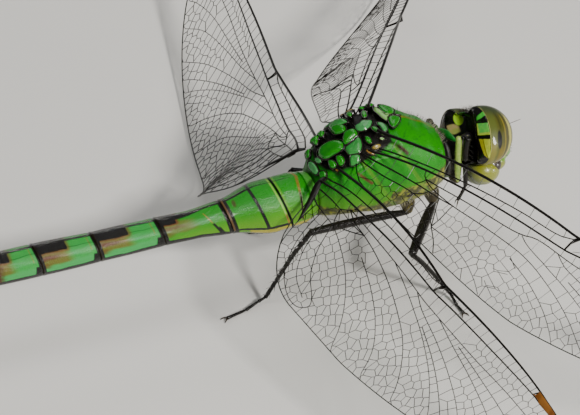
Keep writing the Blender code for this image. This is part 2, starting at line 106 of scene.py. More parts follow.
def path_at(points, t):
    """A smooth path through points, t from 0 to 1."""
    step = 1.0 / (len(points) - 1)
    return Vector([curve_at([(i * step, p[axis]) for i, p in enumerate(points)], t)
                   for axis in range(len(points[0]))])


def world(p):
    return ORIGIN + (Vector(p) + LIFT) * MM


# ---- Blender helpers ----
def deselect():
    for obj in bpy.context.selected_objects:
        obj.select_set(False)


def pick(obj):
    deselect()
    obj.select_set(True)
    bpy.context.view_layer.objects.active = obj


def add_object(name, data):
    obj = bpy.data.objects.new(name, data)
    bpy.context.scene.collection.objects.link(obj)
    return obj


def apply_modifier(obj, kind, **settings):
    pick(obj)
    modifier = obj.modifiers.new(kind.lower(), kind)
    for key, value in settings.items():
        setattr(modifier, key, value)
    bpy.ops.object.modifier_apply(modifier=modifier.name)


def refine(obj, levels):
    apply_modifier(obj, "SUBSURF", levels=levels, render_levels=levels)


def edit(obj, change, times=1):
    """Runs an operator on the whole of a mesh in edit mode."""
    pick(obj)
    bpy.ops.object.mode_set(mode="EDIT")
    bpy.ops.mesh.select_all(action="SELECT")
    for _ in range(times):
        change()
    bpy.ops.object.mode_set(mode="OBJECT")


def face_outwards(obj):
    edit(obj, lambda: bpy.ops.mesh.normals_make_consistent(inside=False))


def join(name, pieces):
    deselect()
    for piece in pieces:
        piece.select_set(True)
    bpy.context.view_layer.objects.active = pieces[0]
    bpy.ops.object.join()
    pieces[0].name = name
    return pieces[0]


def finish_piece(obj, mat, replaced=(), angle=60.0):
    """Gives a piece its material and smooth shading, and ties it to the model."""
    obj.data.materials.clear()
    obj.data.materials.append(mat)
    pick(obj)
    bpy.ops.object.shade_smooth_by_angle(angle=math.radians(angle))
    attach(obj, "root")
    if replaced:
        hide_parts(*replaced)
    deselect()


def tube(name, sides, rings, place, levels=0):
    """A closed tube: a circle extruded ring by ring, whose points then go where
    place(ring, turn) says, turn counted from the top towards the left side."""
    deselect()
    bpy.ops.mesh.primitive_circle_add(vertices=sides, radius=1.0, fill_type="TRIFAN",
                                      rotation=(0.0, 0.5 * math.pi, 0.0))
    obj = bpy.context.object
    obj.name = name
    pick(obj)
    bpy.ops.object.transform_apply(location=True, rotation=True, scale=True)
    edit(obj, lambda: bpy.ops.mesh.extrude_region_move(
        TRANSFORM_OT_translate={"value": (-1.0, 0.0, 0.0)}), rings - 1)
    caps = {0: place(0, None), rings - 1: place(rings - 1, None)}
    for vert in obj.data.vertices:
        ring = int(round(-vert.co.x))
        if math.hypot(vert.co.y, vert.co.z) < 0.5:
            vert.co = world(caps[ring])
        else:
            vert.co = world(place(ring, math.atan2(vert.co.y, vert.co.z)))
    edit(obj, lambda: bpy.ops.mesh.remove_doubles(threshold=1e-8))
    face_outwards(obj)
    if levels:
        refine(obj, levels)
    return obj


def ball(name, centre, semi, axes=None, segments=24, rings=14, shape=None):
    """A sphere primitive turned into an ellipsoid along three axes. shape(local) may move
    each point of the unit sphere first."""
    deselect()
    bpy.ops.mesh.primitive_uv_sphere_add(segments=segments, ring_count=rings, radius=1.0)
    obj = bpy.context.object
    obj.name = name
    axes = axes or AXES
    for vert in obj.data.vertices:
        local = shape(vert.co.copy()) if shape else vert.co.copy()
        offset = sum((axes[i] * (local[i] * semi[i]) for i in range(3)), Vector())
        vert.co = world(Vector(centre) + offset)
    face_outwards(obj)
    return obj


AXES = [Vector((1, 0, 0)), Vector((0, 1, 0)), Vector((0, 0, 1))]


def side_axes(heading, up=Vector((0, 0, 1))):
    """Three square axes: the heading, its left and its upper side."""
    heading = Vector(heading).normalized()
    left = Vector(up).cross(heading)
    if left.length < 1e-3:
        left = Vector((0, 1, 0)).cross(heading)
    left.normalize()
    return [heading, left, heading.cross(left)]


def wires(name, lines, sides):
    """Round wires along many lines. A line is a list of (world point, radius in mm); the
    lines are one curve with a bevel, turned into a mesh."""
    data = bpy.data.curves.new(name, "CURVE")
    data.dimensions = "3D"
    data.bevel_depth = MM
    data.bevel_resolution = {4: 0, 6: 1, 8: 2}[sides]
    data.use_fill_caps = True
    for line in lines:
        spline = data.splines.new("POLY")
        spline.points.add(len(line) - 1)
        for point, (place, radius) in zip(spline.points, line):
            point.co = (*place, 1.0)
            point.radius = radius
    pick(add_object(name, data))
    bpy.ops.object.convert(target="MESH")
    return bpy.context.object


# ---- shader maths ----
class Value:
    """A number socket that Python's operators work on, each adding a Math node."""

    def __init__(self, paint, socket):
        self.paint = paint
        self.socket = socket

    def maths(self, operation, *others):
        node = self.paint.node("ShaderNodeMath", {"operation": operation},
                               {i: v for i, v in enumerate((self, *others))})
        return Value(self.paint, node.outputs[0])

    def __add__(self, other):
        return self.maths("ADD", other)

    __radd__ = __add__

    def __mul__(self, other):
        return self.maths("MULTIPLY", other)

    __rmul__ = __mul__

    def __sub__(self, other):
        return self.maths("SUBTRACT", other)

    def __rsub__(self, other):
        return (self * -1.0) + other

    def __truediv__(self, other):
        return self.maths("DIVIDE", other)

    def __abs__(self):
        return self.maths("ABSOLUTE")

    def low(self, other):
        return self.maths("MINIMUM", other)

    def high(self, other):
        return self.maths("MAXIMUM", other)

    def power(self, other):
        return self.maths("POWER", other)

    def step(self, low, high):
        """0 below low, 1 above high, smooth between; high may be the smaller one."""
        node = self.paint.node("ShaderNodeMapRange", {"interpolation_type": "SMOOTHSTEP"},
                               {"Value": self, "From Min": low, "From Max": high})
        return Value(self.paint, node.outputs["Result"])

    def band(self, low, high, soft=0.04):
        return self.step(low - soft, low + soft) * self.step(high + soft, high - soft)


class Paint:
    """One material and its nodes."""

    def __init__(self, name, **settings):
        self.mat = bpy.data.materials.new(name)
        self.mat.use_nodes = True
        self.nodes = self.mat.node_tree.nodes
        self.links = self.mat.node_tree.links
        self.shader = self.nodes["Principled BSDF"]
        self.set(self.shader, settings)
        self.place = self.node("ShaderNodeTexCoord", {}, {}).outputs["Object"]
        metres = self.vector("SUBTRACT", self.place, tuple(ORIGIN + LIFT * MM))
        self.body = self.vector("SCALE", metres, scale=1.0 / MM)
        split = self.node("ShaderNodeSeparateXYZ", {}, {0: self.body})
        self.x, self.y, self.z = [Value(self, split.outputs[i]) for i in range(3)]

    def set(self, node, inputs):
        for key, value in inputs.items():
            socket = node.inputs[key.replace("_", " ") if isinstance(key, str) else key]
            if isinstance(value, Value):
                value = value.socket
            if isinstance(value, bpy.types.NodeSocket):
                self.links.new(value, socket)
            elif isinstance(value, tuple) and len(value) == 3 and socket.type == "RGBA":
                socket.default_value = (*value, 1.0)
            else:
                socket.default_value = value

    def node(self, kind, settings, inputs):
        node = self.nodes.new(kind)
        for key, value in settings.items():
            setattr(node, key, value)
        self.set(node, inputs)
        return node

    def vector(self, operation, first, second=None, scale=None, output=0):
        inputs = {0: first}
        if second is not None:
            inputs[1] = second
        if scale is not None:
            inputs["Scale"] = scale
        return self.node("ShaderNodeVectorMath", {"operation": operation}, inputs).outputs[output]

    def mix(self, a, b, amount):
        node = self.node("ShaderNodeMix", {"data_type": "RGBA", "clamp_factor": True}, {})
        self.set(node, {0: amount, 6: a, 7: b})
        return node.outputs[2]

    def noise(self, scale, detail=3.0):
        """Noise over the body in waves for each millimetre, about -1 to 1."""
        node = self.node("ShaderNodeTexNoise", {}, {"Vector": self.body, "Scale": scale,
                                                    "Detail": detail})
        return (Value(self, node.outputs[0]) - 0.5) * 2.0

    def cells(self, scale):
        node = self.node("ShaderNodeTexVoronoi", {}, {"Vector": self.body, "Scale": scale})
        return Value(self, node.outputs["Distance"])

    def attribute(self, name):
        node = self.node("ShaderNodeAttribute", {"attribute_name": name}, {})
        return Value(self, node.outputs["Fac"])

    def along(self, origin, axis):
        """Distance along an axis from a point, both in body millimetres."""
        shifted = self.vector("SUBTRACT", self.body, tuple(origin))
        return Value(self, self.vector("DOT_PRODUCT", shifted, tuple(axis), output="Value"))

    def local(self, centre, axes):
        """Coordinates along three axes from a centre, in body millimetres."""
        return [self.along(centre, axis) for axis in axes]

    def stroke(self, points, radius, soft, wobble):
        """1 within the radius of a line through body points, 0 outside it."""
        nearest = None
        for start, end in zip(points, points[1:]):
            start, end = Vector(start), Vector(end)
            way = end - start
            share = (self.along(start, way / way.length_squared)).high(0.0).low(1.0)
            foot = self.vector("ADD", self.vector("SCALE", tuple(way), scale=share), tuple(start))
            gap = Value(self, self.vector("DISTANCE", foot, self.body, output="Value"))
            nearest = gap if nearest is None else nearest.low(gap)
        return (nearest + wobble).step(radius + soft, radius - soft)

    def spot(self, centre, semi, soft=0.12, axes=None):
        """1 within an ellipsoid round a body point."""
        parts = self.local(centre, axes or AXES)
        square = sum(((part / half) * (part / half) for part, half in zip(parts, semi)), 0.0)
        return square.power(0.5).step(1.0 + soft, 1.0 - soft)

    def patch(self, across, above, corners, soft=0.03):
        """1 inside a convex outline, its corners going round against the clock."""
        inside = 1.0
        for (x0, y0), (x1, y1) in zip(corners, corners[1:] + corners[:1]):
            size = math.hypot(x1 - x0, y1 - y0)
            gap = (above - y0) * ((x1 - x0) / size) - (across - x0) * ((y1 - y0) / size)
            inside = gap.step(-soft, soft) * inside
        return inside

    def over(self, colour, amount):
        """Lays a colour over what is painted so far."""
        self.coat = self.mix(self.coat, colour, amount)

    def relief(self, height, strength, distance):
        node = self.node("ShaderNodeBump", {}, {"Height": height, "Strength": strength,
                                                "Distance": distance * MM})
        self.set(self.shader, {"Normal": node.outputs[0]})

    def done(self, **inputs):
        """The material, with its painted colour and the shader's other varying inputs."""
        self.set(self.shader, {"Base_Color": self.coat, **inputs})
        return self.mat


def two_tone(name, first, second, scale, change, detail=3.0, **settings):
    """A material that wavers between two colours."""
    paint = Paint(name, **settings)
    paint.coat = paint.mix(first, second, paint.noise(scale, detail).step(*change))
    return paint.done()


BLACK = (0.003, 0.0025, 0.002)
BROWN = (0.06, 0.022, 0.008)
GREEN = (0.006, 0.2, 0.003)
DEEP_GREEN = (0.004, 0.11, 0.003)
LIME = (0.11, 0.29, 0.004)
BLUE_GREEN = (0.05, 0.3, 0.09)


# ---- wings ----
FOREWING = {"length": 33.0, "nodus": 16.5, "base_chord": 3.8, "max_chord": 7.8,
            "widest": 19.0, "tip_chord": 2.2, "base_power": 1.1, "rear_powers": (2.6, 0.5),
            "stigma": (26.3, 28.6)}
HINDWING = {"length": 32.0, "nodus": 13.4, "base_chord": 3.0, "max_chord": 9.0,
            "widest": 7.0, "tip_chord": 2.2, "base_power": 0.5, "rear_powers": (2.2, 0.55),
            "stigma": (25.7, 28.0)}
WING_BOW, WING_OUTER_BOW, WING_OUTER_BOW_END = 0.28, 0.22, 0.84
WING_ROUNDING = 0.68
WING_ROOT = -0.7
WING_CORNER = (1.0, 1.2)
WING_PITCH, WING_TWIST = math.radians(30.0), math.radians(14.0)

# root place, side, forward sweep and droop in degrees, arch before the nodus, lift past it
WING_PLACES = {
    "forewing_left": (FOREWING, (-4.9, 1.95, 4.8), 1, 30.9, 13.5, 0.5, -0.25),
    "forewing_right": (FOREWING, (-5.42, -1.95, 4.8), -1, 28.2, 4.5, 0.5, -0.25),
    "hindwing_left": (HINDWING, (-8.82, 2.35, 2.98), 1, 11.3, 14.6, -0.5, 3.4),
    "hindwing_right": (HINDWING, (-8.82, -2.35, 2.92), -1, 8.1, 5.7, 0.5, -0.25),
}

# long veins: distance from the root and from the line through root and nodus
FORE_VEINS = {
    "subcosta": [(-0.6, 1.15), (1.0, 0.95), (4.0, 0.78), (8.0, 0.62), (12.0, 0.51), (15.2, 0.5),
        (16.4, 0.12)],
    "radius": [(-0.6, 1.6), (1.5, 1.35), (4.0, 1.2), (8.0, 1.17), (12.0, 1.22), (16.4, 1.27),
        (20.0, 1.08), (26.0, 0.98), (29.5, 1.02), (32.3, 1.28)],
    "sector": [(4.7, 1.72), (6.0, 1.8), (8.0, 1.86), (12.0, 1.99), (13.2, 1.9), (14.2, 1.66),
        (16.3, 1.72), (18.0, 1.86), (21.0, 1.84), (25.0, 1.74), (29.0, 1.96), (32.7, 3.05)],
    "second_branch": [(18.6, 1.88), (20.0, 2.3), (23.0, 2.9), (26.0, 3.55), (29.0, 4.5), (30.6, 5.62)],
    "between_first": [(21.8, 2.1), (24.0, 2.38), (27.0, 2.72), (30.0, 3.42), (32.0, 4.45)],
    "between_second": [(16.2, 1.74), (17.2, 2.3), (19.0, 2.85), (22.0, 3.65), (25.0, 4.68), (27.5, 5.9),
        (28.6, 6.6)],
    "helper": [(18.2, 3.2), (20.0, 3.8), (22.0, 4.5), (24.0, 5.35), (26.0, 6.4), (27.0, 7.1)],
    "third_branch": [(13.2, 1.96), (13.8, 2.3), (14.6, 2.58), (16.0, 2.95), (18.0, 3.58), (20.0, 4.35),
        (22.0, 5.25), (24.0, 6.3), (25.5, 7.35)],
    "middle": [(4.7, 1.76), (5.6, 2.15), (7.7, 2.6), (10.0, 2.8), (12.7, 3.02), (14.2, 3.2), (16.0, 3.66),
        (18.0, 4.5), (20.0, 5.6), (22.0, 7.0), (22.9, 7.65)],
    "middle_helper": [(13.6, 3.85), (16.0, 4.7), (18.0, 5.85), (19.5, 7.05), (20.2, 7.76)],
    "cubit": [(-0.6, 1.95), (1.8, 2.1), (4.4, 2.32), (6.6, 2.56), (7.7, 2.6)],
    "hind_cubit": [(7.3, 4.6), (9.0, 4.9), (11.0, 5.62), (12.5, 6.5), (13.4, 7.25)],
    "anal": [(-0.9, 2.25), (0.5, 2.58), (2.0, 2.82), (4.0, 2.98), (5.6, 3.3), (6.7, 3.95), (7.3, 4.6)],
}
FORE_LINKS = [
    [(4.4, 1.2), (4.5, 1.55), (4.7, 1.74), (4.5, 2.05), (4.2, 2.3)],
    [(7.7, 2.6), (7.55, 3.6), (7.3, 4.6)],
    [(6.5, 2.55), (6.9, 3.6), (7.3, 4.6)],
    [(4.7, 3.05), (5.2, 2.8), (5.5, 2.45)],
    [(7.3, 4.6), (8.1, 5.4), (8.7, 6.25)],
]
HIND_VEINS = {
    "subcosta": [(-0.5, 1.0), (1.5, 0.62), (5.5, 0.42), (8.6, 0.33), (12.3, 0.34), (13.3, 0.08)],
    "radius": [(-0.5, 1.45), (1.5, 1.2), (4.3, 1.15), (8.8, 0.98), (13.3, 0.88), (16.0, 0.74),
        (20.0, 0.62), (25.0, 0.52), (28.5, 0.6), (31.3, 1.0)],
    "sector": [(3.4, 1.5), (7.0, 1.62), (10.0, 1.68), (13.4, 1.75), (16.0, 1.8), (20.0, 1.84),
        (25.0, 1.76), (29.0, 2.05), (31.7, 3.05)],
    "second_branch": [(15.5, 1.82), (18.0, 2.35), (22.0, 3.1), (26.0, 4.2), (28.6, 5.8)],
    "between_first": [(18.5, 2.12), (22.0, 2.48), (26.0, 3.0), (29.0, 3.85), (30.4, 4.6)],
    "between_second": [(12.5, 1.76), (14.0, 2.3), (17.0, 3.0), (20.0, 3.9), (23.0, 5.1), (26.0, 6.95)],
    "helper": [(15.2, 3.05), (18.0, 4.0), (20.5, 5.1), (23.0, 6.5), (24.3, 7.5)],
    "third_branch": [(9.5, 1.7), (11.0, 2.05), (13.4, 2.65), (16.0, 3.55), (19.0, 4.9), (21.5, 6.5),
        (23.0, 7.85)],
    "middle": [(3.4, 1.54), (4.4, 1.9), (5.9, 2.05), (8.0, 2.35), (11.0, 3.05), (14.0, 4.1), (16.0, 5.2),
        (18.0, 6.9), (19.3, 8.6)],
    "middle_helper": [(7.4, 3.2), (10.0, 4.1), (12.5, 5.3), (14.5, 6.9), (15.8, 9.05)],
    "cubit": [(-0.5, 1.9), (1.2, 1.88), (2.6, 1.95)],
    "hind_cubit": [(3.5, 3.1), (5.0, 3.6), (7.5, 4.7), (10.0, 6.4), (11.5, 8.0), (12.2, 9.3)],
    "anal": [(-0.7, 2.15), (0.5, 2.7), (2.0, 2.95), (3.5, 3.1)],
}
HIND_LINKS = [
    [(3.9, 1.15), (3.4, 1.52), (2.6, 1.95)],
    [(2.6, 1.95), (4.4, 2.1), (5.9, 2.05)],
    [(5.9, 2.05), (4.8, 2.62), (3.5, 3.1)],
    [(2.6, 1.95), (3.0, 2.55), (3.5, 3.1)],
]
ANAL_LOOP = [
    [(3.5, 3.1), (3.8, 4.1), (4.5, 5.3), (5.8, 6.6), (7.4, 7.5), (7.9, 8.1),
     (7.2, 8.7), (5.8, 8.6), (4.0, 7.7), (2.7, 6.2), (2.0, 4.6), (1.8, 2.92)],
    [(2.7, 3.0), (2.9, 4.3), (3.6, 5.9), (5.0, 7.3), (6.9, 8.0)],
    [(0.9, 2.78), (0.9, 4.4), (1.4, 6.2), (2.4, 7.6)],
]


def wing_axes(side, sweep, droop, pitch):
    sweep, droop = math.radians(sweep), math.radians(droop)
    span = Vector((math.sin(sweep) * math.cos(droop), side * math.cos(sweep) * math.cos(droop),
                   -math.sin(droop)))
    back = Vector((-math.cos(sweep), side * math.sin(sweep), 0.0))
    normal = span.cross(back) * side
    chord = back * math.cos(pitch) - normal * math.sin(pitch)
    return span, chord, normal * math.cos(pitch) + back * math.sin(pitch)


def wing_edges(wing, s):
    """Front and hind edge of the wing at the distance s from its root."""
    length, nodus, tip = wing["length"], wing["nodus"], wing["tip_chord"]
    if s < nodus:
        u = max(s, 0.0) / nodus
        front = -WING_BOW * 4.0 * u * (1.0 - u)
    else:
        bow_length = WING_OUTER_BOW_END * length - nodus
        front = -WING_OUTER_BOW * math.sin(math.pi * min((s - nodus) / bow_length, 1.0))
    v = clamp((s / length - WING_ROUNDING) / (1.0 - WING_ROUNDING))
    front += tip * (1.0 - (1.0 - v ** 3.2) ** 0.5)
    grow = math.sin(0.5 * math.pi * min(max(s, 0.0) / wing["widest"], 1.0))
    rear = lerp(wing["base_chord"], wing["max_chord"], grow ** wing["base_power"])
    corner_end, corner_depth = WING_CORNER
    if s < corner_end:
        rear -= corner_depth * ((corner_end - s) / (corner_end - WING_ROOT)) ** 2
    if s > wing["widest"]:
        v = min((s - wing["widest"]) / (length - wing["widest"]), 1.0)
        bend, close = wing["rear_powers"]
        rear = tip + (wing["max_chord"] - tip) * (1.0 - v ** bend) ** close
    return front, rear


def wing_pitch(wing, side, s):
    """How steeply the wing's width slopes down to its hind edge, at the distance s from its
    root: the right wings flatten outwards, the left ones hang ever more steeply."""
    s = max(s, 0.0)
    if side < 0:
        return WING_PITCH - WING_TWIST * s / wing["length"]
    if wing is FOREWING:
        return math.radians(30.0 + 0.72 * s)
    return math.radians(31.0 + 18.0 * smooth(3.0, 12.0, s))


class Wing:
    """One wing's surface and its net of veins."""

    def __init__(self, name):
        self.name = name
        self.form, root, self.side, self.sweep, self.droop, self.arch, self.lift = (
            WING_PLACES[name])
        self.root = Vector(root)
        fore = self.form is FOREWING
        self.veins = FORE_VEINS if fore else HIND_VEINS
        self.links = FORE_LINKS if fore else HIND_LINKS
        self.loops = [] if fore else ANAL_LOOP
        self.random = random.Random(name)

    def rise(self, s):
        nodus, length = self.form["nodus"], self.form["length"]
        if s < nodus:
            u = max(s, 0.0) / nodus
            return self.arch * 4.0 * u * (1.0 - u)
        return self.lift * ((s - nodus) / (length - nodus)) ** 1.4

    def fold(self, s, c):
        """The pleats of the wing: the front edge and the radius stand high, the subcosta
        and the sector low, and the field behind them waves gently."""
        front = wing_edges(self.form, s)[0]
        low = curve_at(self.veins["subcosta"], s) if s < self.form["nodus"] else front + 0.5
        high = curve_at(self.veins["radius"], s)
        pleats = [(front, 0.12), (max(low, front + 0.1), -0.13), (high, 0.14),
                  (high + 0.75, -0.08), (high + 1.7, 0.07), (high + 3.2, -0.04),
                  (high + 9.0, 0.0)]
        ease = smooth(self.form["length"], self.form["length"] * 0.8, s)
        return curve_at(pleats, c) * (0.35 + 0.65 * ease)

    def point(self, s, c, over=0.0):
        pitch = wing_pitch(self.form, self.side, s)
        span, chord, normal = wing_axes(self.side, self.sweep, self.droop, pitch)
        upright = wing_axes(self.side, self.sweep, self.droop, 0.0)[2]
        place = self.root + span * s + upright * self.rise(s) + chord * c
        return world(place + normal * (self.fold(s, c) + over))

    # -- the net
    def edge(self, name, s):
        front, rear = wing_edges(self.form, s)
        if name == "costa":
            return front
        if name == "margin":
            return rear
        return curve_at(self.veins[name], s)

    def active(self, name, s):
        return self.veins[name][0][0] <= s <= self.veins[name][-1][0]

    def seeds(self):
        """One point for each cell, with the veins in front of it and behind it."""
        found = []
        nodus = self.form["nodus"]
        for name in ["costa", *self.veins]:
            if name == "costa":
                start, end = 0.0, self.form["length"] * 0.985
            else:
                start, end = max(self.veins[name][0][0], WING_ROOT), self.veins[name][-1][0]
            s = start + 0.35
            while s < end:
                here = self.edge(name, s)
                behind = [(self.edge(other, s), other) for other in self.veins
                          if other != name and self.active(other, s)]
                behind = [b for b in behind if b[0] > here + 0.02]
                behind.append((self.edge("margin", s), "margin"))
                limit, rear = min(behind)
                height = limit - here
                rows = 1 if height < 1.15 else int(round(height / 0.64))
                width = 0.66
                if rows == 1:
                    width = 1.45 if s < nodus else clamp(height * 1.05, 0.5, 1.15)
                if height > 0.12:
                    for row in range(rows):
                        loose = 0.07 if rows > 1 else 0.03
                        t = (row + 0.5) / rows + self.random.uniform(-loose, loose) / rows
                        along = s + (0.5 * width if row % 2 else 0.0)
                        along += width * self.random.uniform(-loose, loose) * 2.0
                        shift = (self.edge(name, min(along, end)) - here) * (1.0 - t)
                        shift += (self.edge(rear, min(along, end)) - limit) * t
                        found.append((along, here + height * t + shift, name, rear, width,
                                      height / rows))
                s += width
        return found

    def walls(self):
        """The cross-veins: sides of the cells between neighbouring seeds."""
        seeds = self.seeds()
        lines = []
        for i, (s, c, front, rear, width, height) in enumerate(seeds):
            reach = max(width, height) * 1.3
            shape = [(s - reach, c - reach), (s + reach, c - reach), (s + reach, c + reach),
                     (s - reach, c + reach)]
            marks = [None] * 4
            for name, sign in ((front, -1.0), (rear, 1.0)):
                slope = (self.edge(name, s + 0.1) - self.edge(name, s - 0.1)) / 0.2
                limit = sign * (self.edge(name, s) - slope * s)
                shape, marks = clip(shape, marks, -sign * slope, sign, limit, None)
            for j, (s2, c2, front2, rear2, width2, height2) in enumerate(seeds):
                near = 2.4 * max(reach, width2, height2)
                if j == i or abs(s2 - s) > near or abs(c2 - c) > near:
                    continue
                if front != front2 and rear != rear2:
                    continue
                ds, dc = s2 - s, c2 - c
                limit = 0.5 * (s2 * s2 + c2 * c2 - s * s - c * c)
                shape, marks = clip(shape, marks, ds, dc, limit, j)
                if not shape:
                    break
            for k, mark in enumerate(marks):
                if mark is not None and mark > i:
                    start, end = Vector(shape[k]), Vector(shape[(k + 1) % len(shape)])
                    if (end - start).length > 0.08:
                        lines.append((start, end))
        return self.gather(lines)

    def gather(self, lines):
        """Moves cross-veins that nearly touch a link vein onto it, and drops those that
        would run along it, stick out of the outline or cross the stigma."""
        guides = [sample(link, 24) for link in self.links + self.loops]
        kept = []
        low, high = self.form["stigma"]
        for start, end in lines:
            ends = []
            for p in (start, end):
                best = None
                for number, guide in enumerate(guides):
                    near = min(guide, key=lambda q: (q - p).length_squared)
                    gap = (near - p).length
                    if gap < 0.27 and (best is None or gap < best[0]):
                        best = (gap, near, number)
                ends.append((best[1], best[2]) if best else (p, None))
            (a, mark_a), (b, mark_b) = ends
            if mark_a is not None and mark_a == mark_b:
                continue
            if (a - b).length < 0.06:
                continue
            middle = (a + b) / 2
            front, rear = wing_edges(self.form, middle.x)
            if not front - 0.05 < middle.y < rear + 0.05:
                continue
            if low < middle.x < high and middle.y < self.edge("radius", middle.x):
                continue
            kept.append((self.inside(a), self.inside(b)))
        return kept

    def inside(self, p):
        s = clamp(p.x, WING_ROOT, self.form["length"] - 0.05)
        front, rear = wing_edges(self.form, s)
        return Vector((s, clamp(p.y, front, rear)))

    def line(self, points, radius, tip_radius):
        count = max(len(points) - 1, 1)
        return [(self.point(p.x, p.y), lerp(radius, tip_radius, i / count))
                for i, p in enumerate(points)]

    def outline(self, rear, count=90):
        shares = [math.sin(0.5 * math.pi * i / count) for i in range(count + 1)]
        places = [lerp(WING_ROOT, self.form["length"], share) for share in shares]
        return [Vector((s, wing_edges(self.form, s)[1 if rear else 0])) for s in places]


def clip(shape, marks, ns, nc, limit, mark):
    """Keeps the part of a polygon where ns*s + nc*c <= limit. marks tells which cut made
    each side."""
    if not shape:
        return shape, marks
    out, out_marks = [], []
    values = [ns * s + nc * c - limit for s, c in shape]
    for k, (s, c) in enumerate(shape):
        following = (k + 1) % len(shape)
        inside, inside_next = values[k] <= 0.0, values[following] <= 0.0
        s2, c2 = shape[following]
        if inside:
            out.append((s, c))
            out_marks.append(marks[k])
        if inside != inside_next:
            t = values[k] / (values[k] - values[following])
            out.append((lerp(s, s2, t), lerp(c, c2, t)))
            out_marks.append(mark if inside else marks[k])
    return out, out_marks


def sample(points, count):
    return [path_at(points, i / count) for i in range(count + 1)]


# radius of each long vein at its start and its end
VEIN_RADII = {"subcosta": (0.06, 0.04), "radius": (0.085, 0.045), "cubit": (0.07, 0.04),
              "anal": (0.06, 0.034), "sector": (0.045, 0.03), "middle": (0.045, 0.028)}
CROSS_RADIUS = 0.024


def make_wing(name, mats):
    wing = Wing(name)
    form = wing.form
    lines = []
    for vein, points in wing.veins.items():
        radius, tip_radius = VEIN_RADII.get(vein, (0.036, 0.026))
        low, high = points[0][0], points[-1][0]
        count = int((high - low) / 0.5) + 2
        track = [Vector((s, curve_at(points, s)))
                 for s in [lerp(low, high, i / count) for i in range(count + 1)]]
        lines.append(wing.line([wing.inside(p) for p in track], radius, tip_radius))
    for link in wing.links:
        lines.append(wing.line(sample(link, 8), 0.04, 0.038))
    for loop in wing.loops:
        lines.append(wing.line([wing.inside(p) for p in sample(loop, 40)], 0.036, 0.03))
    lines.append(wing.line(wing.outline(False), 0.115, 0.05))
    lines.append(wing.line(wing.outline(True), 0.042, 0.045))
    nodus = form["nodus"]
    front = wing_edges(form, nodus)[0]
    stout = [Vector((nodus + 0.35, front)), Vector((nodus - 0.05, front + 0.12)),
             Vector((nodus - 0.15, 0.55)), Vector((nodus - 0.1, wing.edge("radius", nodus)))]
    lines.append([(wing.point(p.x, p.y, 0.0), r)
                  for p, r in zip(stout, (0.06, 0.14, 0.08, 0.07))])
    low, high = form["stigma"]
    for s in (low, high):
        ends = [Vector((s + 0.1, wing_edges(form, s)[0])), Vector((s - 0.1, wing.edge("radius", s)))]
        lines.append(wing.line(ends, 0.05, 0.05))
    long_veins = wires(name + "_long_veins", lines, 6)
    cross = [wing.line(list(pair), CROSS_RADIUS * 1.1, CROSS_RADIUS) for pair in wing.walls()]
    cross_veins = wires(name + "_cross_veins", cross, 4)
    veins = join(name + "_veins", [long_veins, cross_veins])
    finish_piece(veins, mats["vein"], angle=80.0)

    finish_piece(make_membrane(wing), mats["membrane"], [name])
    if form is HINDWING:                         # the dark blade behind the root
        blade = [(wing.point(*p) - ORIGIN) / MM - LIFT for p in
                 ((-0.7, 1.05), (-0.5, 1.7), (0.0, 2.65), (0.55, 3.65), (0.9, 4.55))]
        blade = rod(name + "_root_blade", blade, [0.05, 0.07, 0.085, 0.065, 0.04, 0.008], 12, 3.0)
        finish_piece(blade, mats["vein"])

    finish_piece(make_stigma(wing), mats["stigma"])


def wing_sheet(name, wing, spans, chords, place, thickness, offset):
    """A grid primitive laid along the wing, then given a thickness."""
    deselect()
    bpy.ops.mesh.primitive_grid_add(x_subdivisions=spans, y_subdivisions=chords, size=2.0)
    obj = bpy.context.object
    obj.name = name
    for vert in obj.data.vertices:
        vert.co = place(0.5 * (vert.co.x + 1.0), 0.5 * (vert.co.y + 1.0))
    if wing.side > 0:
        edit(obj, bpy.ops.mesh.flip_normals)
    apply_modifier(obj, "SOLIDIFY", thickness=thickness * MM, offset=offset)
    return obj


def make_membrane(wing):
    def place(u, v):
        s = lerp(WING_ROOT, wing.form["length"] - 0.03, math.sin(0.5 * math.pi * u))
        front, rear = wing_edges(wing.form, s)
        return wing.point(s, lerp(front, rear, v ** 1.5))

    return wing_sheet(wing.name + "_membrane", wing, 110, 40, place, 0.012, 0.0)


def make_stigma(wing):
    low, high = wing.form["stigma"]

    def place(u, v):
        s = lerp(low, high, u) + 0.1 - 0.2 * v
        front = wing_edges(wing.form, s)[0]
        swell = 0.035 * math.sin(math.pi * u) ** 0.5 * math.sin(math.pi * v) ** 0.5
        return wing.point(s, lerp(front, wing.edge("radius", s), v), 0.02 + swell)

    return wing_sheet(wing.name + "_stigma", wing, 14, 6, place, 0.09, -1.0)


def membrane_material():
    paint = Paint("clear_wing_membrane", Roughness=0.2, Specular_IOR_Level=0.15)
    tint = paint.noise(0.35, 2.0).step(-0.6, 0.8)
    alpha = paint.noise(0.5, 2.0) * 0.004 + 0.01
    paint.relief(paint.noise(2.0, 2.0), 0.15, 0.05)
    paint.coat = paint.mix((0.42, 0.4, 0.34), (0.3, 0.28, 0.22), tint)
    return paint.done(Alpha=alpha)


def make_wings():
    vein = two_tone("vein_shell", (0.004, 0.003, 0.002), (0.012, 0.006, 0.003), 0.8, (0.1, 0.9),
                    Roughness=0.3, Specular_IOR_Level=0.25)
    stigma = two_tone("amber_stigma", (0.3, 0.12, 0.02), (0.17, 0.055, 0.01), 1.4,
                      (-0.5, 0.7), Roughness=0.35)
    mats = {"vein": vein, "membrane": membrane_material(), "stigma": stigma}
    for name in WING_PLACES:
        make_wing(name, mats)


# ---- stage ----
VIEW_RIGHT = Vector((0.9205, -0.3907, 0.0))
VIEW_UP = Vector((0.2241, 0.528, 0.8192))
VIEW_BACK = Vector((-0.3201, -0.754, 0.5736))
FRAME_CENTRE = VIEW_RIGHT * -10.68 + VIEW_UP * -3.23     # mm from the neck
FRAME_WIDTH = 39.46 * MM
VIEW_DISTANCE = 1.3


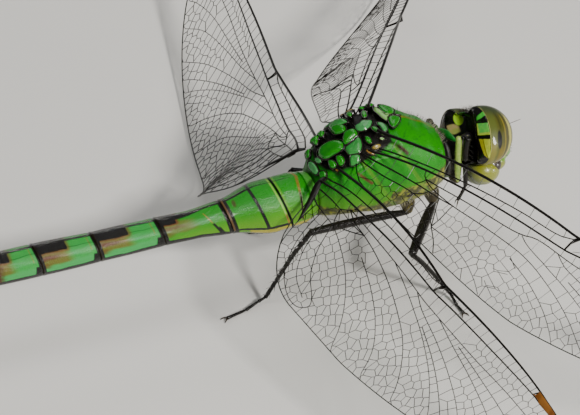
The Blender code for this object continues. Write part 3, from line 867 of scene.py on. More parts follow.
def make_stage():
    deselect()
    bpy.ops.mesh.primitive_plane_add(size=3.0)
    floor = bpy.context.object
    floor.name = "floor"
    colour = (0.8, 0.79, 0.76)
    floor.data.materials.append(two_tone("pale_floor", colour, tuple(0.97 * c for c in colour),
                                         0.02, (-1.0, 1.0), Roughness=0.8))
    scene = bpy.context.scene
    camera_data = bpy.data.cameras.new("camera")
    camera = add_object("camera", camera_data)
    camera_data.sensor_width = 36.0
    camera_data.lens = 36.0 * VIEW_DISTANCE / FRAME_WIDTH
    camera_data.clip_start = 0.05
    camera_data.clip_end = 20.0
    turn = Matrix((VIEW_RIGHT, VIEW_UP, VIEW_BACK)).transposed().to_4x4()
    camera.matrix_world = Matrix.Translation(world(FRAME_CENTRE)
                                             + VIEW_BACK * VIEW_DISTANCE) @ turn
    scene.camera = camera
    scene.world = bpy.data.worlds.new("studio")
    scene.world.use_nodes = True
    backdrop = scene.world.node_tree.nodes["Background"]
    backdrop.inputs["Color"].default_value = (0.93, 0.96, 1.0, 1.0)
    backdrop.inputs["Strength"].default_value = 0.1
    lamps = (("key", (0.11, -0.43, 0.31), 0.06, 0.06, 3.7, (1.0, 0.97, 0.92)),
             ("front", (0.4, -0.25, 0.06), 0.045, 0.08, 0.7, (1.0, 0.98, 0.95)),
             ("top", (-0.05, -0.05, 0.5), 0.3, 0.3, 0.75, (1.0, 0.99, 0.96)),
             ("rim", (0.15, 0.45, 0.35), 0.3, 0.3, 0.4, (1.0, 1.0, 1.0)))
    for name, place, wide, tall, power, colour in lamps:
        light = bpy.data.lights.new(name, "AREA")
        light.shape = "RECTANGLE"
        light.size = wide
        light.size_y = tall
        light.energy = power
        light.color = colour
        lamp = add_object(name, light)
        lamp.location = place
        lamp.rotation_euler = (Vector(place) - Vector((0, 0, 0.008))).to_track_quat(
            "Z", "Y").to_euler()


# ---- body sections ----
def stations_at(stations, x):
    """Values at x, read smoothly from (x, values...) rows sorted by falling x."""
    if x >= stations[0][0]:
        return stations[0][1:]
    for near, far in zip(stations, stations[1:]):
        if x >= far[0]:
            share = (x - near[0]) / (far[0] - near[0])
            t = 0.5 * share + 0.5 * smooth(0.0, 1.0, share)
            return [lerp(a, b, t) for a, b in zip(near[1:], far[1:])]
    return stations[-1][1:]


def section(turn, top, bottom, wide, half, power=2.0, roof=0.0):
    """Side and height of a body section's edge, turn counted from the top."""
    sine, cosine = math.sin(turn), math.cos(turn)
    upper = cosine >= 0.0
    bend = 2.0 / power if upper else 0.92
    side, lift = math.copysign(abs(sine) ** bend, sine), abs(cosine) ** bend
    if upper and roof:
        slope = math.asin(min(abs(sine), 1.0)) / (0.5 * math.pi)
        side = lerp(side, math.copysign(slope, sine), roof)
        lift = lerp(lift, 1.0 - slope, roof)
    return side * half, wide + lift * (top - wide) if upper else wide - lift * (wide - bottom)


def mark(obj, name, value):
    """Writes value(body point) for each point of a mesh under a name its material reads."""
    layer = obj.data.attributes.new(name, "FLOAT", "POINT")
    for vert, item in zip(obj.data.vertices, layer.data):
        item.value = value((vert.co - ORIGIN) / MM - LIFT)


# ---- abdomen ----
ABDOMEN_START = -10.16
SEGMENT_LENGTHS = [0.55, 1.65, 4.0, 4.76, 4.66, 4.25, 4.13, 2.5, 1.5, 0.8]
SEGMENT_ROOF = [0.0, 0.0, 0.55, 1.0, 1.0, 1.0, 1.0, 0.9, 0.7, 0.4]    # share of two slopes
# x, half width, top, bottom of the abdomen over the height of its middle line
ABDOMEN_STATIONS = [
    (-10.15, 1.55, 1.55, -1.45), (-11.2, 1.78, 1.78, -1.82), (-13.6, 1.78, 1.8, -1.98),
    (-16.25, 1.22, 1.25, -1.26), (-18.8, 1.0, 1.08, -0.92), (-21.2, 1.1, 1.2, -0.78),
    (-25.5, 1.12, 1.32, -0.78), (-30.0, 1.2, 1.5, -0.8), (-33.5, 1.18, 1.44, -0.78),
    (-36.5, 1.01, 1.14, -0.72), (-38.2, 0.81, 0.84, -0.6), (-39.1, 0.58, 0.56, -0.46),
]
ABDOMEN_SIDES = 72
# a half section of the banded segments, from keel to widest place: side and height shares
RIDGE_SIDE = [(0.0, 0.0), (0.22, 0.27), (0.42, 0.53), (0.55, 0.68), (0.75, 0.88), (1.0, 1.0)]
RIDGE_HEIGHT = [(0.0, 1.0), (0.22, 0.9), (0.42, 0.81), (0.55, 0.71), (0.75, 0.5), (1.0, 0.0)]


def abdomen_middle(x):
    t = (x + 10.1) / -29.0
    return 0.05 - 0.341 * math.sin(math.pi * min(t * 0.92, 1.0))


# how far the joints lean back for each mm of height, and the height where they stay in place
SLANT = [(-25.0, 0.2), (-21.0, 0.24), (-16.3, 0.28), (-13.5, 0.3), (-11.8, 0.3), (-10.4, 0.0)]
PIVOT = [(-25.0, 0.0), (-21.0, 0.4), (-16.3, 1.0), (-13.5, 1.6), (-11.8, 1.6), (-10.4, 1.6)]


def lean(x, z):
    """How far a point of the abdomen leans back."""
    bottom = abdomen_middle(x) + stations_at(ABDOMEN_STATIONS, x)[2]
    return curve_at(SLANT, x) * (z - bottom - curve_at(PIVOT, x))


def segment_starts():
    starts = [ABDOMEN_START]
    for length in SEGMENT_LENGTHS:
        starts.append(starts[-1] - length)
    return starts


def abdomen_rings():
    """x, swelling and roof of each ring: every segment starts narrow inside the rim of the
    one before it and ends in a rim of its own."""
    rings = []
    x, roof = ABDOMEN_START, 0.0
    for length, next_roof in zip(SEGMENT_LENGTHS, SEGMENT_ROOF):
        steps = max(int(length / 0.24), 3)
        rings += [(x - 0.005, -0.075, roof), (x - 0.05, -0.03, roof)]
        for i in range(1, steps):
            t = i / steps
            swell = -0.012 + 0.022 * math.sin(math.pi * t)
            rings.append((x - t * length, swell, lerp(roof, next_roof, t)))
        rings += [(x - length + before, swell, next_roof)
                  for before, swell in ((0.1, 0.004), (0.03, 0.02), (0.008, -0.03))]
        x -= length
        roof = next_roof
    return rings


def make_abdomen():
    rings = abdomen_rings()

    def place(ring, turn):
        x, swell, roof = rings[ring]
        half, top, bottom = stations_at(ABDOMEN_STATIONS, x)
        middle = abdomen_middle(x)
        if turn is None:
            return (x + (0.02 if ring == 0 else -0.06), 0.0, middle)
        wide = lerp(middle - 0.1, middle + 0.5 * (top + bottom) - 0.1, smooth(-15.0, -19.0, x))
        y, z = section(turn, middle + top, middle + bottom, wide, half, 2.05)
        if math.cos(turn) > 0.0:
            share = abs(math.atan2(math.sin(turn), math.cos(turn))) / (0.5 * math.pi)
            ridge = curve_at(RIDGE_HEIGHT, share)
            y = lerp(y, math.copysign(curve_at(RIDGE_SIDE, share), math.sin(turn)) * half, roof)
            z = lerp(z, wide + ridge * (middle + top - wide), roof)
        under = bump_at(abs(turn), 2.45, 0.1) * 0.05 * smooth(-10.6, -12.5, x)
        keel = bump_at(turn, 0.0, 0.07) * 0.05 * smooth(-11.0, -15.0, x)
        grow = 1.0 + (swell - under + keel) / half
        z = middle + (z - middle) * grow
        return (x - lean(x, z), y * grow, z)

    skin = tube("abdomen_skin", ABDOMEN_SIDES, len(rings), place)
    starts = segment_starts()

    def upright(p):
        """The point's place along the abdomen as if the joints did not lean."""
        x = p.x
        for _ in range(3):
            x = p.x + lean(x, p.z)
        return x

    def segment(p):
        x = upright(p)
        for number, (near, far) in enumerate(zip(starts, starts[1:]), start=1):
            if x >= far - 0.004:
                return number + clamp((near - x) / (near - far), 0.0, 0.999)
        return 10.999

    mark(skin, "segment", segment)
    mark(skin, "across", lambda p: math.atan2(abs(p.y), p.z - abdomen_middle(p.x) + 0.1)
         / math.pi)
    finish_piece(skin, abdomen_material(),
                 [f"abdomen_{number}" for number in range(1, 11)], 50.0)
    make_tail_parts()


def abdomen_material():
    paint = Paint("banded_abdomen_shell")
    segment, across = paint.attribute("segment"), paint.attribute("across")
    fine = paint.noise(5.0)
    wave = paint.noise(1.1) * 0.03 + fine * 0.006
    part = segment.maths("FRACT")                # place along a segment, 0 in front
    side = across + wave
    banded = segment.step(4.99, 5.0) * segment.step(8.0, 7.99)
    fourth = segment.step(4.0, 4.001) * segment.step(5.0, 4.99)

    def within(low, high, soft=0.03):
        return (segment + paint.noise(2.0, 2.0) * 0.02).band(low, high, soft)

    green = paint.mix(GREEN, DEEP_GREEN, fine.step(-0.2, 1.6) * 0.45)
    green = paint.mix(green, LIME, side.step(0.22, 0.62) * segment.step(5.1, 4.7) * 0.8)
    green = paint.mix(green, BLUE_GREEN, side.step(0.3, 0.38) * segment.step(4.9, 5.1) * 0.9)
    green = paint.mix(green, (0.026, 0.3, 0.055), segment.step(4.9, 5.1) * 0.6)
    green = paint.mix(green, LIME, within(2.86, 2.99, 0.04) * 0.6)
    green = paint.mix(green, (0.07, 0.22, 0.04), within(1.0, 1.9) * side.step(0.5, 0.2) * 0.5)
    paint.coat = green
    from_fifth, from_third = segment.step(4.9, 5.0), segment.step(2.2, 2.6)
    # olive and brown streak along the rear half of each side
    reach = banded.high(fourth * 0.75)
    olive = (part - 0.46 + side * 0.25).step(0.0, 0.2) * side.band(0.12, 0.36, 0.03)
    paint.over((0.105, 0.11, 0.014), olive * reach)
    smear = (part + fine * 0.1 - 0.56).step(0.0, 0.25) * (side + fine * 0.02).band(0.21, 0.27, 0.02)
    paint.over((0.085, 0.03, 0.008), smear * reach)
    smear = (part + fine * 0.05).step(0.78, 0.95) * (side + fine * 0.02).band(0.32, 0.41, 0.02)
    paint.over((0.1, 0.04, 0.008), smear * reach * 0.8)
    # the seventh is brown round a green patch
    seventh = segment.band(7.0, 7.999, 0.01)
    paint.over(BROWN, seventh * (part + fine * 0.06).step(0.62, 0.76))
    # black patch on the back of the rear half, with a brown border
    start = Value(paint, paint.mix((0.74,) * 3, (0.485,) * 3, from_fifth))
    lower = (side + part * 0.02).step
    corner = (0.03 - (side - 0.06).high(0.0) * 0.45).low(0.0)
    back = (part - start + wave + corner).step(-0.008, 0.012)
    fringe = (part - start + wave + corner).step(-0.075, -0.01) * lower(0.225, 0.19)
    paint.over((0.11, 0.038, 0.008), fringe * (banded * 0.75).high(fourth))
    back = back * lower(0.19, 0.172) * segment.step(4.0, 4.001)
    paint.over(BLACK, back)
    # black corner in front, low on each side, and black edge below
    corner = (part - (side - 0.3) * 0.25).step(0.105, 0.085) * side.step(0.325, 0.35)
    paint.over(BLACK, corner * from_fifth)
    level = 0.61 - segment.step(3.9, 4.35) * 0.055 - segment.step(4.3, 5.0) * 0.073
    edge = (side - level).step(-0.008, 0.01) * segment.step(3.99, 4.02)
    paint.over(BLACK, edge)
    # lateral line of the third, with a yellow strip below it
    strip = side.step(0.63, 0.65) * side.step(0.74, 0.72) * within(2.0, 3.72)
    paint.over((0.42, 0.36, 0.02), strip * segment.step(4.0, 3.9))
    line = side.band(0.592, 0.634, 0.006) * within(3.02, 4.0, 0.02)
    paint.over(BLACK, line)
    paint.over(BLACK, side.step(0.72, 0.76) * from_third)
    # cross ridges
    above = side.step(0.62, 0.6)
    pale = (segment + fine * 0.003).band(3.03, 3.062, 0.008) * above
    paint.over((0.24, 0.42, 0.06), pale * 0.8)
    paint.over((0.26, 0.13, 0.012), pale * side.step(0.42, 0.5))
    ridge = (segment + across * 0.07).band(3.416, 3.476, 0.007) * above
    paint.over(BLACK, ridge)
    blot = paint.spot((-16.0, -0.45, 1.02), (0.13, 0.3, 0.3), 0.4)
    paint.over((0.05, 0.025, 0.006), blot * 0.8)
    ridge = (segment - across * 0.6).band(2.095, 2.175, 0.014) * above
    paint.over((0.2, 0.1, 0.01), ridge * 0.8)
    ridge = (segment - across * 0.6).band(2.105, 2.165, 0.012) * above * across.step(0.2, 0.26)
    paint.over(BLACK, ridge)
    slanted = segment + across * 0.31
    ridge = slanted.band(4.35, 4.362, 0.006) * side.band(0.1, 0.33, 0.01)
    paint.over((0.3, 0.12, 0.01), ridge)
    ridge = slanted.band(4.33, 4.372, 0.007) * side.step(0.33, 0.35)
    ridge = ridge.high(slanted.band(4.3, 4.37, 0.012) * side.step(0.41, 0.45))
    paint.over(BLACK, ridge)
    ridge = part.band(0.112, 0.122, 0.006) * banded * side.step(0.27, 0.25)
    paint.over((0.2, 0.09, 0.01), ridge * 0.9)
    crease = side.band(0.128, 0.14, 0.006) * banded * part.step(0.5, 0.48)
    paint.over((0.006, 0.06, 0.006), crease * 0.8)
    # dark keel, joints and tail
    width = segment.step(3.1, 3.8) * 0.018 + fourth * part.step(0.25, 0.72) * 0.06 + 0.004
    paint.over(BLACK, (across - width).step(0.008, -0.006) * from_third)
    ends = segment.band(2.945, 3.018, 0.006).high(segment.band(3.905, 4.056, 0.005))
    ends = ends.high(part.step(0.056, 0.048).high(part.step(0.944, 0.952))
                     * segment.step(4.5, 4.6))
    paint.over(BLACK, ends)
    brown = segment.band(3.96, 3.998, 0.004) * above
    brown = brown.high((part.step(0.012, 0.006).high(part.step(0.984, 0.99)))
                       * banded * 0.25)
    paint.over((0.1, 0.055, 0.018), brown * 0.8)
    last = (segment + fine * 0.05 + across * 0.3).step(7.92, 8.05)
    paint.over(BLACK, last)
    fleck = within(8.1, 8.45) * side.band(0.3, 0.44, 0.03)
    paint.over((0.12, 0.1, 0.02), fleck * 0.8)
    paint.relief(paint.noise(11.0) + fine * 0.8, 0.8, 0.03)
    return paint.done(Roughness=fine * 0.06 + 0.125, Specular_IOR_Level=0.35)


def make_tail_parts():
    end = segment_starts()[-1]
    height = abdomen_middle(end)
    for name, side in (("cercus_left", 1), ("cercus_right", -1)):
        path = [(end + 0.15, side * 0.26, height + 0.1), (end - 0.25, side * 0.33, height + 0.14),
                (end - 0.6, side * 0.34, height + 0.14), (end - 0.98, side * 0.28, height + 0.1)]
        cercus = rod(name + "_skin", path, [0.1, 0.15, 0.14, 0.03], 14)
        paint_rod(cercus, "cercus", (0.42, 0.38, 0.2), (0.2, 0.16, 0.06), name)
    lobe = ball("end_lobe", (end - 0.05, 0.0, height - 0.05), (0.22, 0.24, 0.22))
    paint_rod(lobe, "end_lobe", (0.1, 0.08, 0.03), BROWN, None)
    plate_x = ABDOMEN_START - sum(SEGMENT_LENGTHS[:8]) + 0.61
    base = abdomen_middle(plate_x) - 0.7
    path = [(plate_x + 0.15, 0, base - 0.05), (plate_x - 0.35, 0, base - 0.42),
            (plate_x - 0.8, 0, base - 0.85), (plate_x - 1.02, 0, base - 1.2)]
    plate = rod("subgenital_skin", path, [0.22, 0.24, 0.22, 0.07], 16, 1.45)
    paint_rod(plate, "subgenital", (0.05, 0.03, 0.012), BLACK, "subgenital_plate")


def rod(name, path, radii, sides=12, flatten=1.0, steps=14):
    """A smooth rod along a path of body points, its radii spread evenly along it."""
    levels = [(i / (len(radii) - 1), radius) for i, radius in enumerate(radii)]
    points = [path_at(path, i / steps) for i in range(steps + 1)]

    def place(ring, turn):
        i = clamp(ring - 1, 0, steps)
        before, after = points[max(i - 1, 0)], points[min(i + 1, steps)]
        ahead, left, up = side_axes(after - before)
        radius = curve_at(levels, i / steps)
        if turn is None or ring == 0 or ring == steps + 2:
            shift = -0.35 if ring == 0 else 0.35
            shift *= 1.25 if turn is None else 1.0
            centre = points[i] + ahead * radius * shift
            radius *= 0.6
        else:
            centre = points[i]
        if turn is None:
            return centre
        return centre + left * radius * flatten * math.sin(turn) + up * radius * math.cos(turn)

    return tube(name, sides, steps + 3, place)


ROD_PAINTS = {}


def paint_rod(obj, kind, light, dark, replaced, roughness=0.3):
    """A two-tone shell for a small part, shared by parts of one kind."""
    if kind not in ROD_PAINTS:
        paint = Paint(kind + "_shell", Roughness=roughness, Coat_Weight=0.3)
        blotch = paint.noise(2.4).step(-0.3, 0.6)
        paint.relief(paint.noise(16.0, 2.0), 0.25, 0.02)
        paint.coat = paint.mix(light, dark, blotch)
        ROD_PAINTS[kind] = paint.done()
    finish_piece(obj, ROD_PAINTS[kind], [replaced] if replaced else ())


# ---- thorax ----
# x, top, bottom, height of the widest place, half width, squareness of the upper half
THORAX_STATIONS = [
    (-0.72, 2.5, -0.6, 1.0, 1.45, 2.2), (-1.05, 2.98, -1.15, 1.0, 2.0, 2.2),
    (-2.1, 3.8, -1.6, 1.0, 2.55, 2.3), (-3.4, 4.5, -1.7, 0.9, 2.85, 2.5),
    (-4.5, 4.84, -1.7, 0.8, 3.0, 3.2), (-6.4, 4.68, -1.7, 0.7, 2.95, 4.0),
    (-7.6, 4.15, -1.48, 0.6, 2.8, 4.0), (-8.6, 3.6, -1.42, 0.5, 2.6, 4.0),
    (-9.4, 2.95, -1.42, 0.3, 2.25, 3.4), (-10.1, 1.95, -1.42, 0.1, 1.62, 2.4),
]
THORAX_SIDES = 88
THORAX_RINGS = 66
BACK_LEVEL = [(-10.2, 0.16), (-9.4, 0.2), (-8.6, 0.24), (-7.6, 0.22), (-6.4, 0.22),
              (-5.0, 0.2), (-4.4, 0.05), (-4.0, 0.0)]      # depth of the back between plates


def thorax_point(x, turn):
    """A point of the thorax skin: the sides bulge between the seams, and the back sinks
    between the wing roots, under the plates."""
    top, bottom, wide, half, power = stations_at(THORAX_STATIONS, x)
    y, z = section(turn, top, bottom, wide, half, power)
    ridge = bump_at(turn, 0.0, 0.05) * 0.07 * smooth(-4.3, -3.9, x) * smooth(-0.9, -1.4, x)
    sink = curve_at(BACK_LEVEL, x) * smooth(1.05, 0.8, abs(turn))
    seam = bump_at(slant_of(x, z), 0.0, 0.14) + bump_at(slant_of(x, z), 2.75, 0.14)
    seam *= smooth(0.75, 1.1, abs(turn)) * smooth(2.35, 2.0, abs(turn)) * 0.05
    grow = 1.0 + (ridge - sink - seam) / 2.8
    middle = 0.5 * (top + bottom)
    return Vector((x, y * grow, middle + (z - middle) * grow))


def slant_of(x, z):
    """Distance behind the slanting line that the front side seam of the thorax follows."""
    return -(x + 2.4 - (z + 0.5) * -0.56)


def make_thorax():
    xs = [lerp(-0.72, -10.1, i / (THORAX_RINGS - 5)) for i in range(THORAX_RINGS - 4)]
    ends = [(-0.7, 0.55), (-0.7, 0.86), *[(x, 1.0) for x in xs], (-10.12, 0.8), (-10.12, 0.4)]

    def place(ring, turn):
        x, share = ends[ring]
        near = clamp(x, -10.1, -0.72)
        top, bottom = thorax_point(near, 0.0), thorax_point(near, math.pi)
        centre = Vector((x, 0.0, 0.5 * (top.z + bottom.z)))
        if turn is None:
            return centre
        return Vector((x, *(centre.lerp(thorax_point(near, turn), share)).yz))

    skin = tube("thorax_skin", THORAX_SIDES, len(ends), place)
    finish_piece(skin, thorax_material(), ["thorax"])
    make_plates()


def thorax_material():
    paint = Paint("green_thorax_shell", Specular_IOR_Level=0.18)
    wave = paint.noise(0.9)
    fine = paint.noise(4.0, 4.0)
    x, y, z = paint.x, paint.y, paint.z
    flank = abs(y)
    paint.coat = paint.mix(GREEN, DEEP_GREEN, (fine * 0.7 + wave).step(-0.2, 1.2) * 0.7)
    low = (z + wave * 0.4).step(1.9, -0.9)
    paint.over((0.11, 0.29, 0.008), low * 0.75)
    # yellow underside mottled with dark brown; the dark brown is partly real colour and partly painted
    # shade under the body
    edge = x.step(-5.6, -5.3) * 0.7 + x.step(-2.7, -1.3) * 0.55
    yellow = (z + wave * 0.4 + fine * 0.3 - edge).step(0.12, -0.14)
    mottle_and_shade = paint.mix((0.24, 0.24, 0.03), (0.05, 0.036, 0.018),
                       (paint.noise(2.2) + fine * 0.4).step(-0.3, 0.1))
    paint.over(mottle_and_shade, yellow * 0.9)
    under = z.step(-1.3, -1.48)
    paint.over((0.14, 0.11, 0.03), under * 0.8)
    # orange brown line on the ridge of the front
    ridge = flank.step(0.2, 0.05) * x.step(-4.2, -3.7) * x.step(-0.9, -1.4)
    paint.over((0.2, 0.11, 0.008), ridge * (fine * 0.4 + 0.62))
    # side seams: a pale line with a darker one in it
    seam_front = -1.0 * (x + 2.4 + (z + 0.5) * 0.56)
    for shift, dark in ((0.0, 0.1), (2.75, 0.15)):
        gap = abs(seam_front - shift + wave * 0.06)
        side = flank.step(2.0, 2.2)
        paint.over((0.1, 0.28, 0.012), gap.step(0.22, 0.08) * side * 0.5)
        paint.over((0.12, 0.06, 0.01), gap.step(0.07, 0.03) * side * dark)
    for sign in (1, -1):
        for colour, radius, line in (
                ((0.05, 0.02, 0.008), 0.13, ((-4.86, 2.3, 4.18), (-4.45, 2.52, 3.78), (-4.13, 2.62, 3.39))),
                ((0.09, 0.03, 0.01), 0.1, ((-7.75, 2.62, 2.72), (-7.3, 2.8, 2.25), (-6.84, 2.9, 1.82)))):
            line = [(ahead, sign * left, up) for ahead, left, up in line]
            paint.over(colour, paint.stroke(line, radius, 0.08, fine * 0.05))
        hole = paint.spot((-3.95, sign * 2.75, 0.0), (0.34, 0.4, 0.17), 0.15)
        paint.over((0.012, 0.01, 0.008), hole)
    # dark back between the wing roots, dark rear end and dark front
    limit = flank + wave * 0.12
    back = limit.step(2.42, 2.25) * z.step(1.6, 2.0) * (x + flank * 0.1).step(-4.72, -4.86)
    back = back * (z - (x + 10.0) * 0.36).step(2.25, 2.45)
    tone = paint.mix(BLACK, (0.07, 0.026, 0.012), (fine + wave).step(0.5, 1.0) * 0.6)
    paint.over(tone, back)
    front = (x + fine * 0.05).step(-1.02, -0.8)
    paint.over((0.015, 0.012, 0.008), front)
    paint.relief(paint.noise(10.0) + fine, 0.35, 0.03)
    return paint.done(Roughness=fine * 0.07 + 0.36)


# Plates of the back and knobs of the wing hinges: height, tone (0 green, 1 grey green, 2 pale,
# 3 tan), whether the left side has it too, and the points round its edge. All but the last four
# edges were worked out by another program, which laid outlines traced by eye onto the thorax.
PLATES = [
    (0.16, 0.0, 0, [(-4.6, 1.3, 4.72), (-4.36, 1.52, 4.62), (-4.02, 1.34, 4.56), (-3.78, 1.05, 4.52),
     (-3.73, 0.75, 4.52), (-4.01, 0.28, 4.66), (-4.38, 0.18, 4.79), (-4.6, 0.61, 4.78)]),
    (0.16, 0.0, 0, [(-4.54, -0.26, 4.81), (-4.18, -0.12, 4.73), (-3.81, -0.19, 4.6), (-3.78, -0.42, 4.57),
     (-4.12, -0.92, 4.64), (-4.56, -1.31, 4.73), (-4.74, -1.08, 4.74), (-4.69, -0.67, 4.77)]),
    (0.12, 2.0, 0, [(-4.88, 1.31, 4.72), (-4.76, 0.96, 4.75), (-4.7, 0.44, 4.79), (-4.52, 0.01, 4.83),
     (-4.16, 0.06, 4.73), (-3.6, 0.12, 4.53), (-4.16, -0.02, 4.73), (-4.55, -0.18, 4.81),
     (-4.74, -0.5, 4.79), (-4.92, -0.12, 4.8), (-4.98, 0.39, 4.78), (-5.04, 0.84, 4.75)]),
    (0.2, 1.0, 0, [(-6.76, 0.14, 4.51), (-6.53, 0.11, 4.6), (-6.21, 0.28, 4.68), (-5.9, 0.15, 4.71),
     (-5.65, -0.05, 4.74), (-5.85, -0.39, 4.7), (-6.08, -0.56, 4.67), (-6.37, -0.66, 4.64),
     (-6.63, -0.56, 4.54), (-6.82, -0.37, 4.47), (-6.87, -0.12, 4.46)]),
    (0.3, 0.2, 0, [(-7.53, 0.07, 4.18), (-7.27, 0.1, 4.29), (-6.97, -0.07, 4.43), (-6.9, -0.39, 4.44),
     (-6.99, -0.7, 4.39), (-7.28, -0.79, 4.25), (-7.61, -0.85, 4.1), (-7.91, -0.83, 3.93),
     (-7.94, -0.54, 3.93), (-7.75, -0.18, 4.05)]),
    (0.26, 0.1, 0, [(-8.0, 1.41, 3.85), (-7.75, 1.41, 3.99), (-7.45, 1.12, 4.16), (-7.29, 0.76, 4.25),
     (-7.35, 0.42, 4.24), (-7.52, 0.23, 4.17), (-7.76, 0.38, 4.04), (-8.02, 0.64, 3.88),
     (-8.08, 1.07, 3.82)]),
    (0.2, 0.7, 1, [(-8.03, -1.13, 3.85), (-7.74, -1.1, 4.02), (-7.28, -1.05, 4.24), (-7.0, -0.97, 4.36),
     (-7.05, -1.47, 4.3), (-7.2, -1.9, 4.07), (-7.44, -2.04, 3.93), (-7.75, -1.9, 3.82),
     (-7.97, -1.76, 3.75), (-8.04, -1.49, 3.81)]),
    (0.15, 0.7, 1, [(-7.95, -1.87, 3.72), (-7.68, -2.03, 3.82), (-7.47, -2.18, 3.79), (-7.58, -2.4, 3.51),
     (-7.7, -2.44, 3.36), (-7.95, -2.38, 3.27), (-8.13, -2.28, 3.27), (-8.1, -2.07, 3.5)]),
    (0.3, 0.3, 0, [(-9.34, 0.35, 2.98), (-9.12, 0.51, 3.16), (-8.74, 0.4, 3.47), (-8.3, 0.12, 3.74),
     (-8.04, -0.27, 3.88), (-7.98, -0.69, 3.9), (-8.14, -1.0, 3.79), (-8.36, -1.02, 3.66),
     (-8.75, -0.93, 3.44), (-9.12, -0.8, 3.15), (-9.36, -0.5, 2.95), (-9.46, -0.01, 2.89)]),
    (0.22, 0.3, 1, [(-9.19, -1.04, 3.07), (-9.08, -1.13, 3.17), (-8.98, -1.34, 3.21),
     (-8.92, -1.62, 3.17), (-8.99, -1.78, 3.02), (-9.22, -1.61, 2.86), (-9.25, -1.33, 2.93)]),
    (0.24, 0.0, 1, [(-8.7, -1.25, 3.45), (-8.51, -1.38, 3.55), (-8.41, -1.64, 3.52), (-8.43, -1.89, 3.41),
     (-8.58, -1.99, 3.21), (-8.77, -1.91, 3.14), (-8.82, -1.67, 3.24), (-8.79, -1.43, 3.35)]),
    (0.16, 0.9, 0, [(-9.98, 0.64, 2.07), (-9.87, 0.47, 2.25), (-9.82, 0.01, 2.36), (-9.82, -0.49, 2.34),
     (-9.88, -0.78, 2.2), (-10.02, -0.69, 1.97), (-10.09, -0.27, 1.93), (-10.07, 0.3, 1.97)]),
    (0.12, 1.2, 0, [(-9.65, 0.2, 2.61), (-9.52, -0.01, 2.81), (-9.48, -0.35, 2.85), (-9.55, -0.52, 2.73),
     (-9.68, -0.3, 2.56), (-9.71, -0.02, 2.53)]),
    (0.18, 0.1, 1, [(-9.8, -0.94, 2.28), (-9.67, -1.09, 2.44), (-9.58, -1.37, 2.5), (-9.62, -1.54, 2.27),
     (-9.7, -1.58, 2.05), (-9.81, -1.42, 1.94), (-9.87, -1.18, 2.04)]),
    (0.1, 3.0, 1, [(-9.07, -1.83, 2.86), (-8.93, -1.93, 2.96), (-8.86, -2.06, 2.92),
     (-8.99, -2.0, 2.81)]),
    (0.15, 0.8, 0, [(-5.39, -0.38, 4.74), (-5.14, -0.51, 4.76), (-5.0, -0.91, 4.74), (-5.06, -1.27, 4.71),
     (-5.28, -1.41, 4.69), (-5.38, -1.21, 4.69), (-5.39, -0.81, 4.71), (-5.45, -0.59, 4.72)]),
    (0.14, 0.4, 1, [(-5.93, -0.64, 4.68), (-5.71, -0.7, 4.69), (-5.58, -1.11, 4.68), (-5.63, -1.38, 4.66),
     (-5.83, -1.28, 4.65), (-5.95, -0.97, 4.66)]),
    (0.18, 0.1, 1, [(-6.64, -1.28, 4.5), (-6.49, -1.38, 4.55), (-6.41, -1.69, 4.52), (-6.48, -1.94, 4.39),
     (-6.63, -1.87, 4.35), (-6.74, -1.61, 4.42)]),
    (0.14, 2.8, 1, [(-6.55, -2.17, 4.25), (-6.26, -2.15, 4.36), (-6.03, -2.17, 4.35),
     (-5.97, -2.26, 4.25), (-6.23, -2.36, 4.14), (-6.51, -2.29, 4.14)]),
    (0.14, 3.2, 1, [(-6.96, -2.12, 4.12), (-6.77, -2.18, 4.14), (-6.52, -2.46, 3.95),
     (-6.58, -2.54, 3.84), (-6.79, -2.39, 3.91), (-6.95, -2.24, 3.99)]),
    (0.07, 2.0, 0, [(-5.64, -1.54, 4.63), (-5.47, -1.51, 4.65), (-5.36, -1.62, 4.61),
     (-5.52, -1.67, 4.58)]),
    (0.07, 2.0, 0, [(-5.84, -1.81, 4.51), (-5.65, -1.8, 4.52), (-5.55, -1.92, 4.47),
     (-5.75, -1.96, 4.45)]),
    (0.2, 0.2, 0, [(-5.7, 2.0, 4.42), (-5.55, 1.8, 4.48), (-5.34, 1.9, 4.46), (-5.28, 2.12, 4.36),
     (-5.46, 2.28, 4.26), (-5.66, 2.2, 4.3)]),
    (0.2, 0.2, 0, [(-5.26, 1.72, 4.58), (-5.02, 1.58, 4.62), (-4.76, 1.72, 4.56), (-4.74, 2.0, 4.42),
     (-4.98, 2.16, 4.34), (-5.24, 2.02, 4.44)]),
    (0.24, 0.1, 0, [(-9.34, 1.64, 2.86), (-9.16, 1.38, 3.06), (-8.9, 1.46, 3.26), (-8.82, 1.74, 3.2),
     (-9.04, 1.94, 2.96), (-9.28, 1.86, 2.82)]),
    (0.18, 0.1, 0, [(-9.84, 1.46, 2.1), (-9.7, 1.22, 2.38), (-9.54, 1.34, 2.56), (-9.54, 1.6, 2.4),
     (-9.7, 1.7, 2.12)]),
]


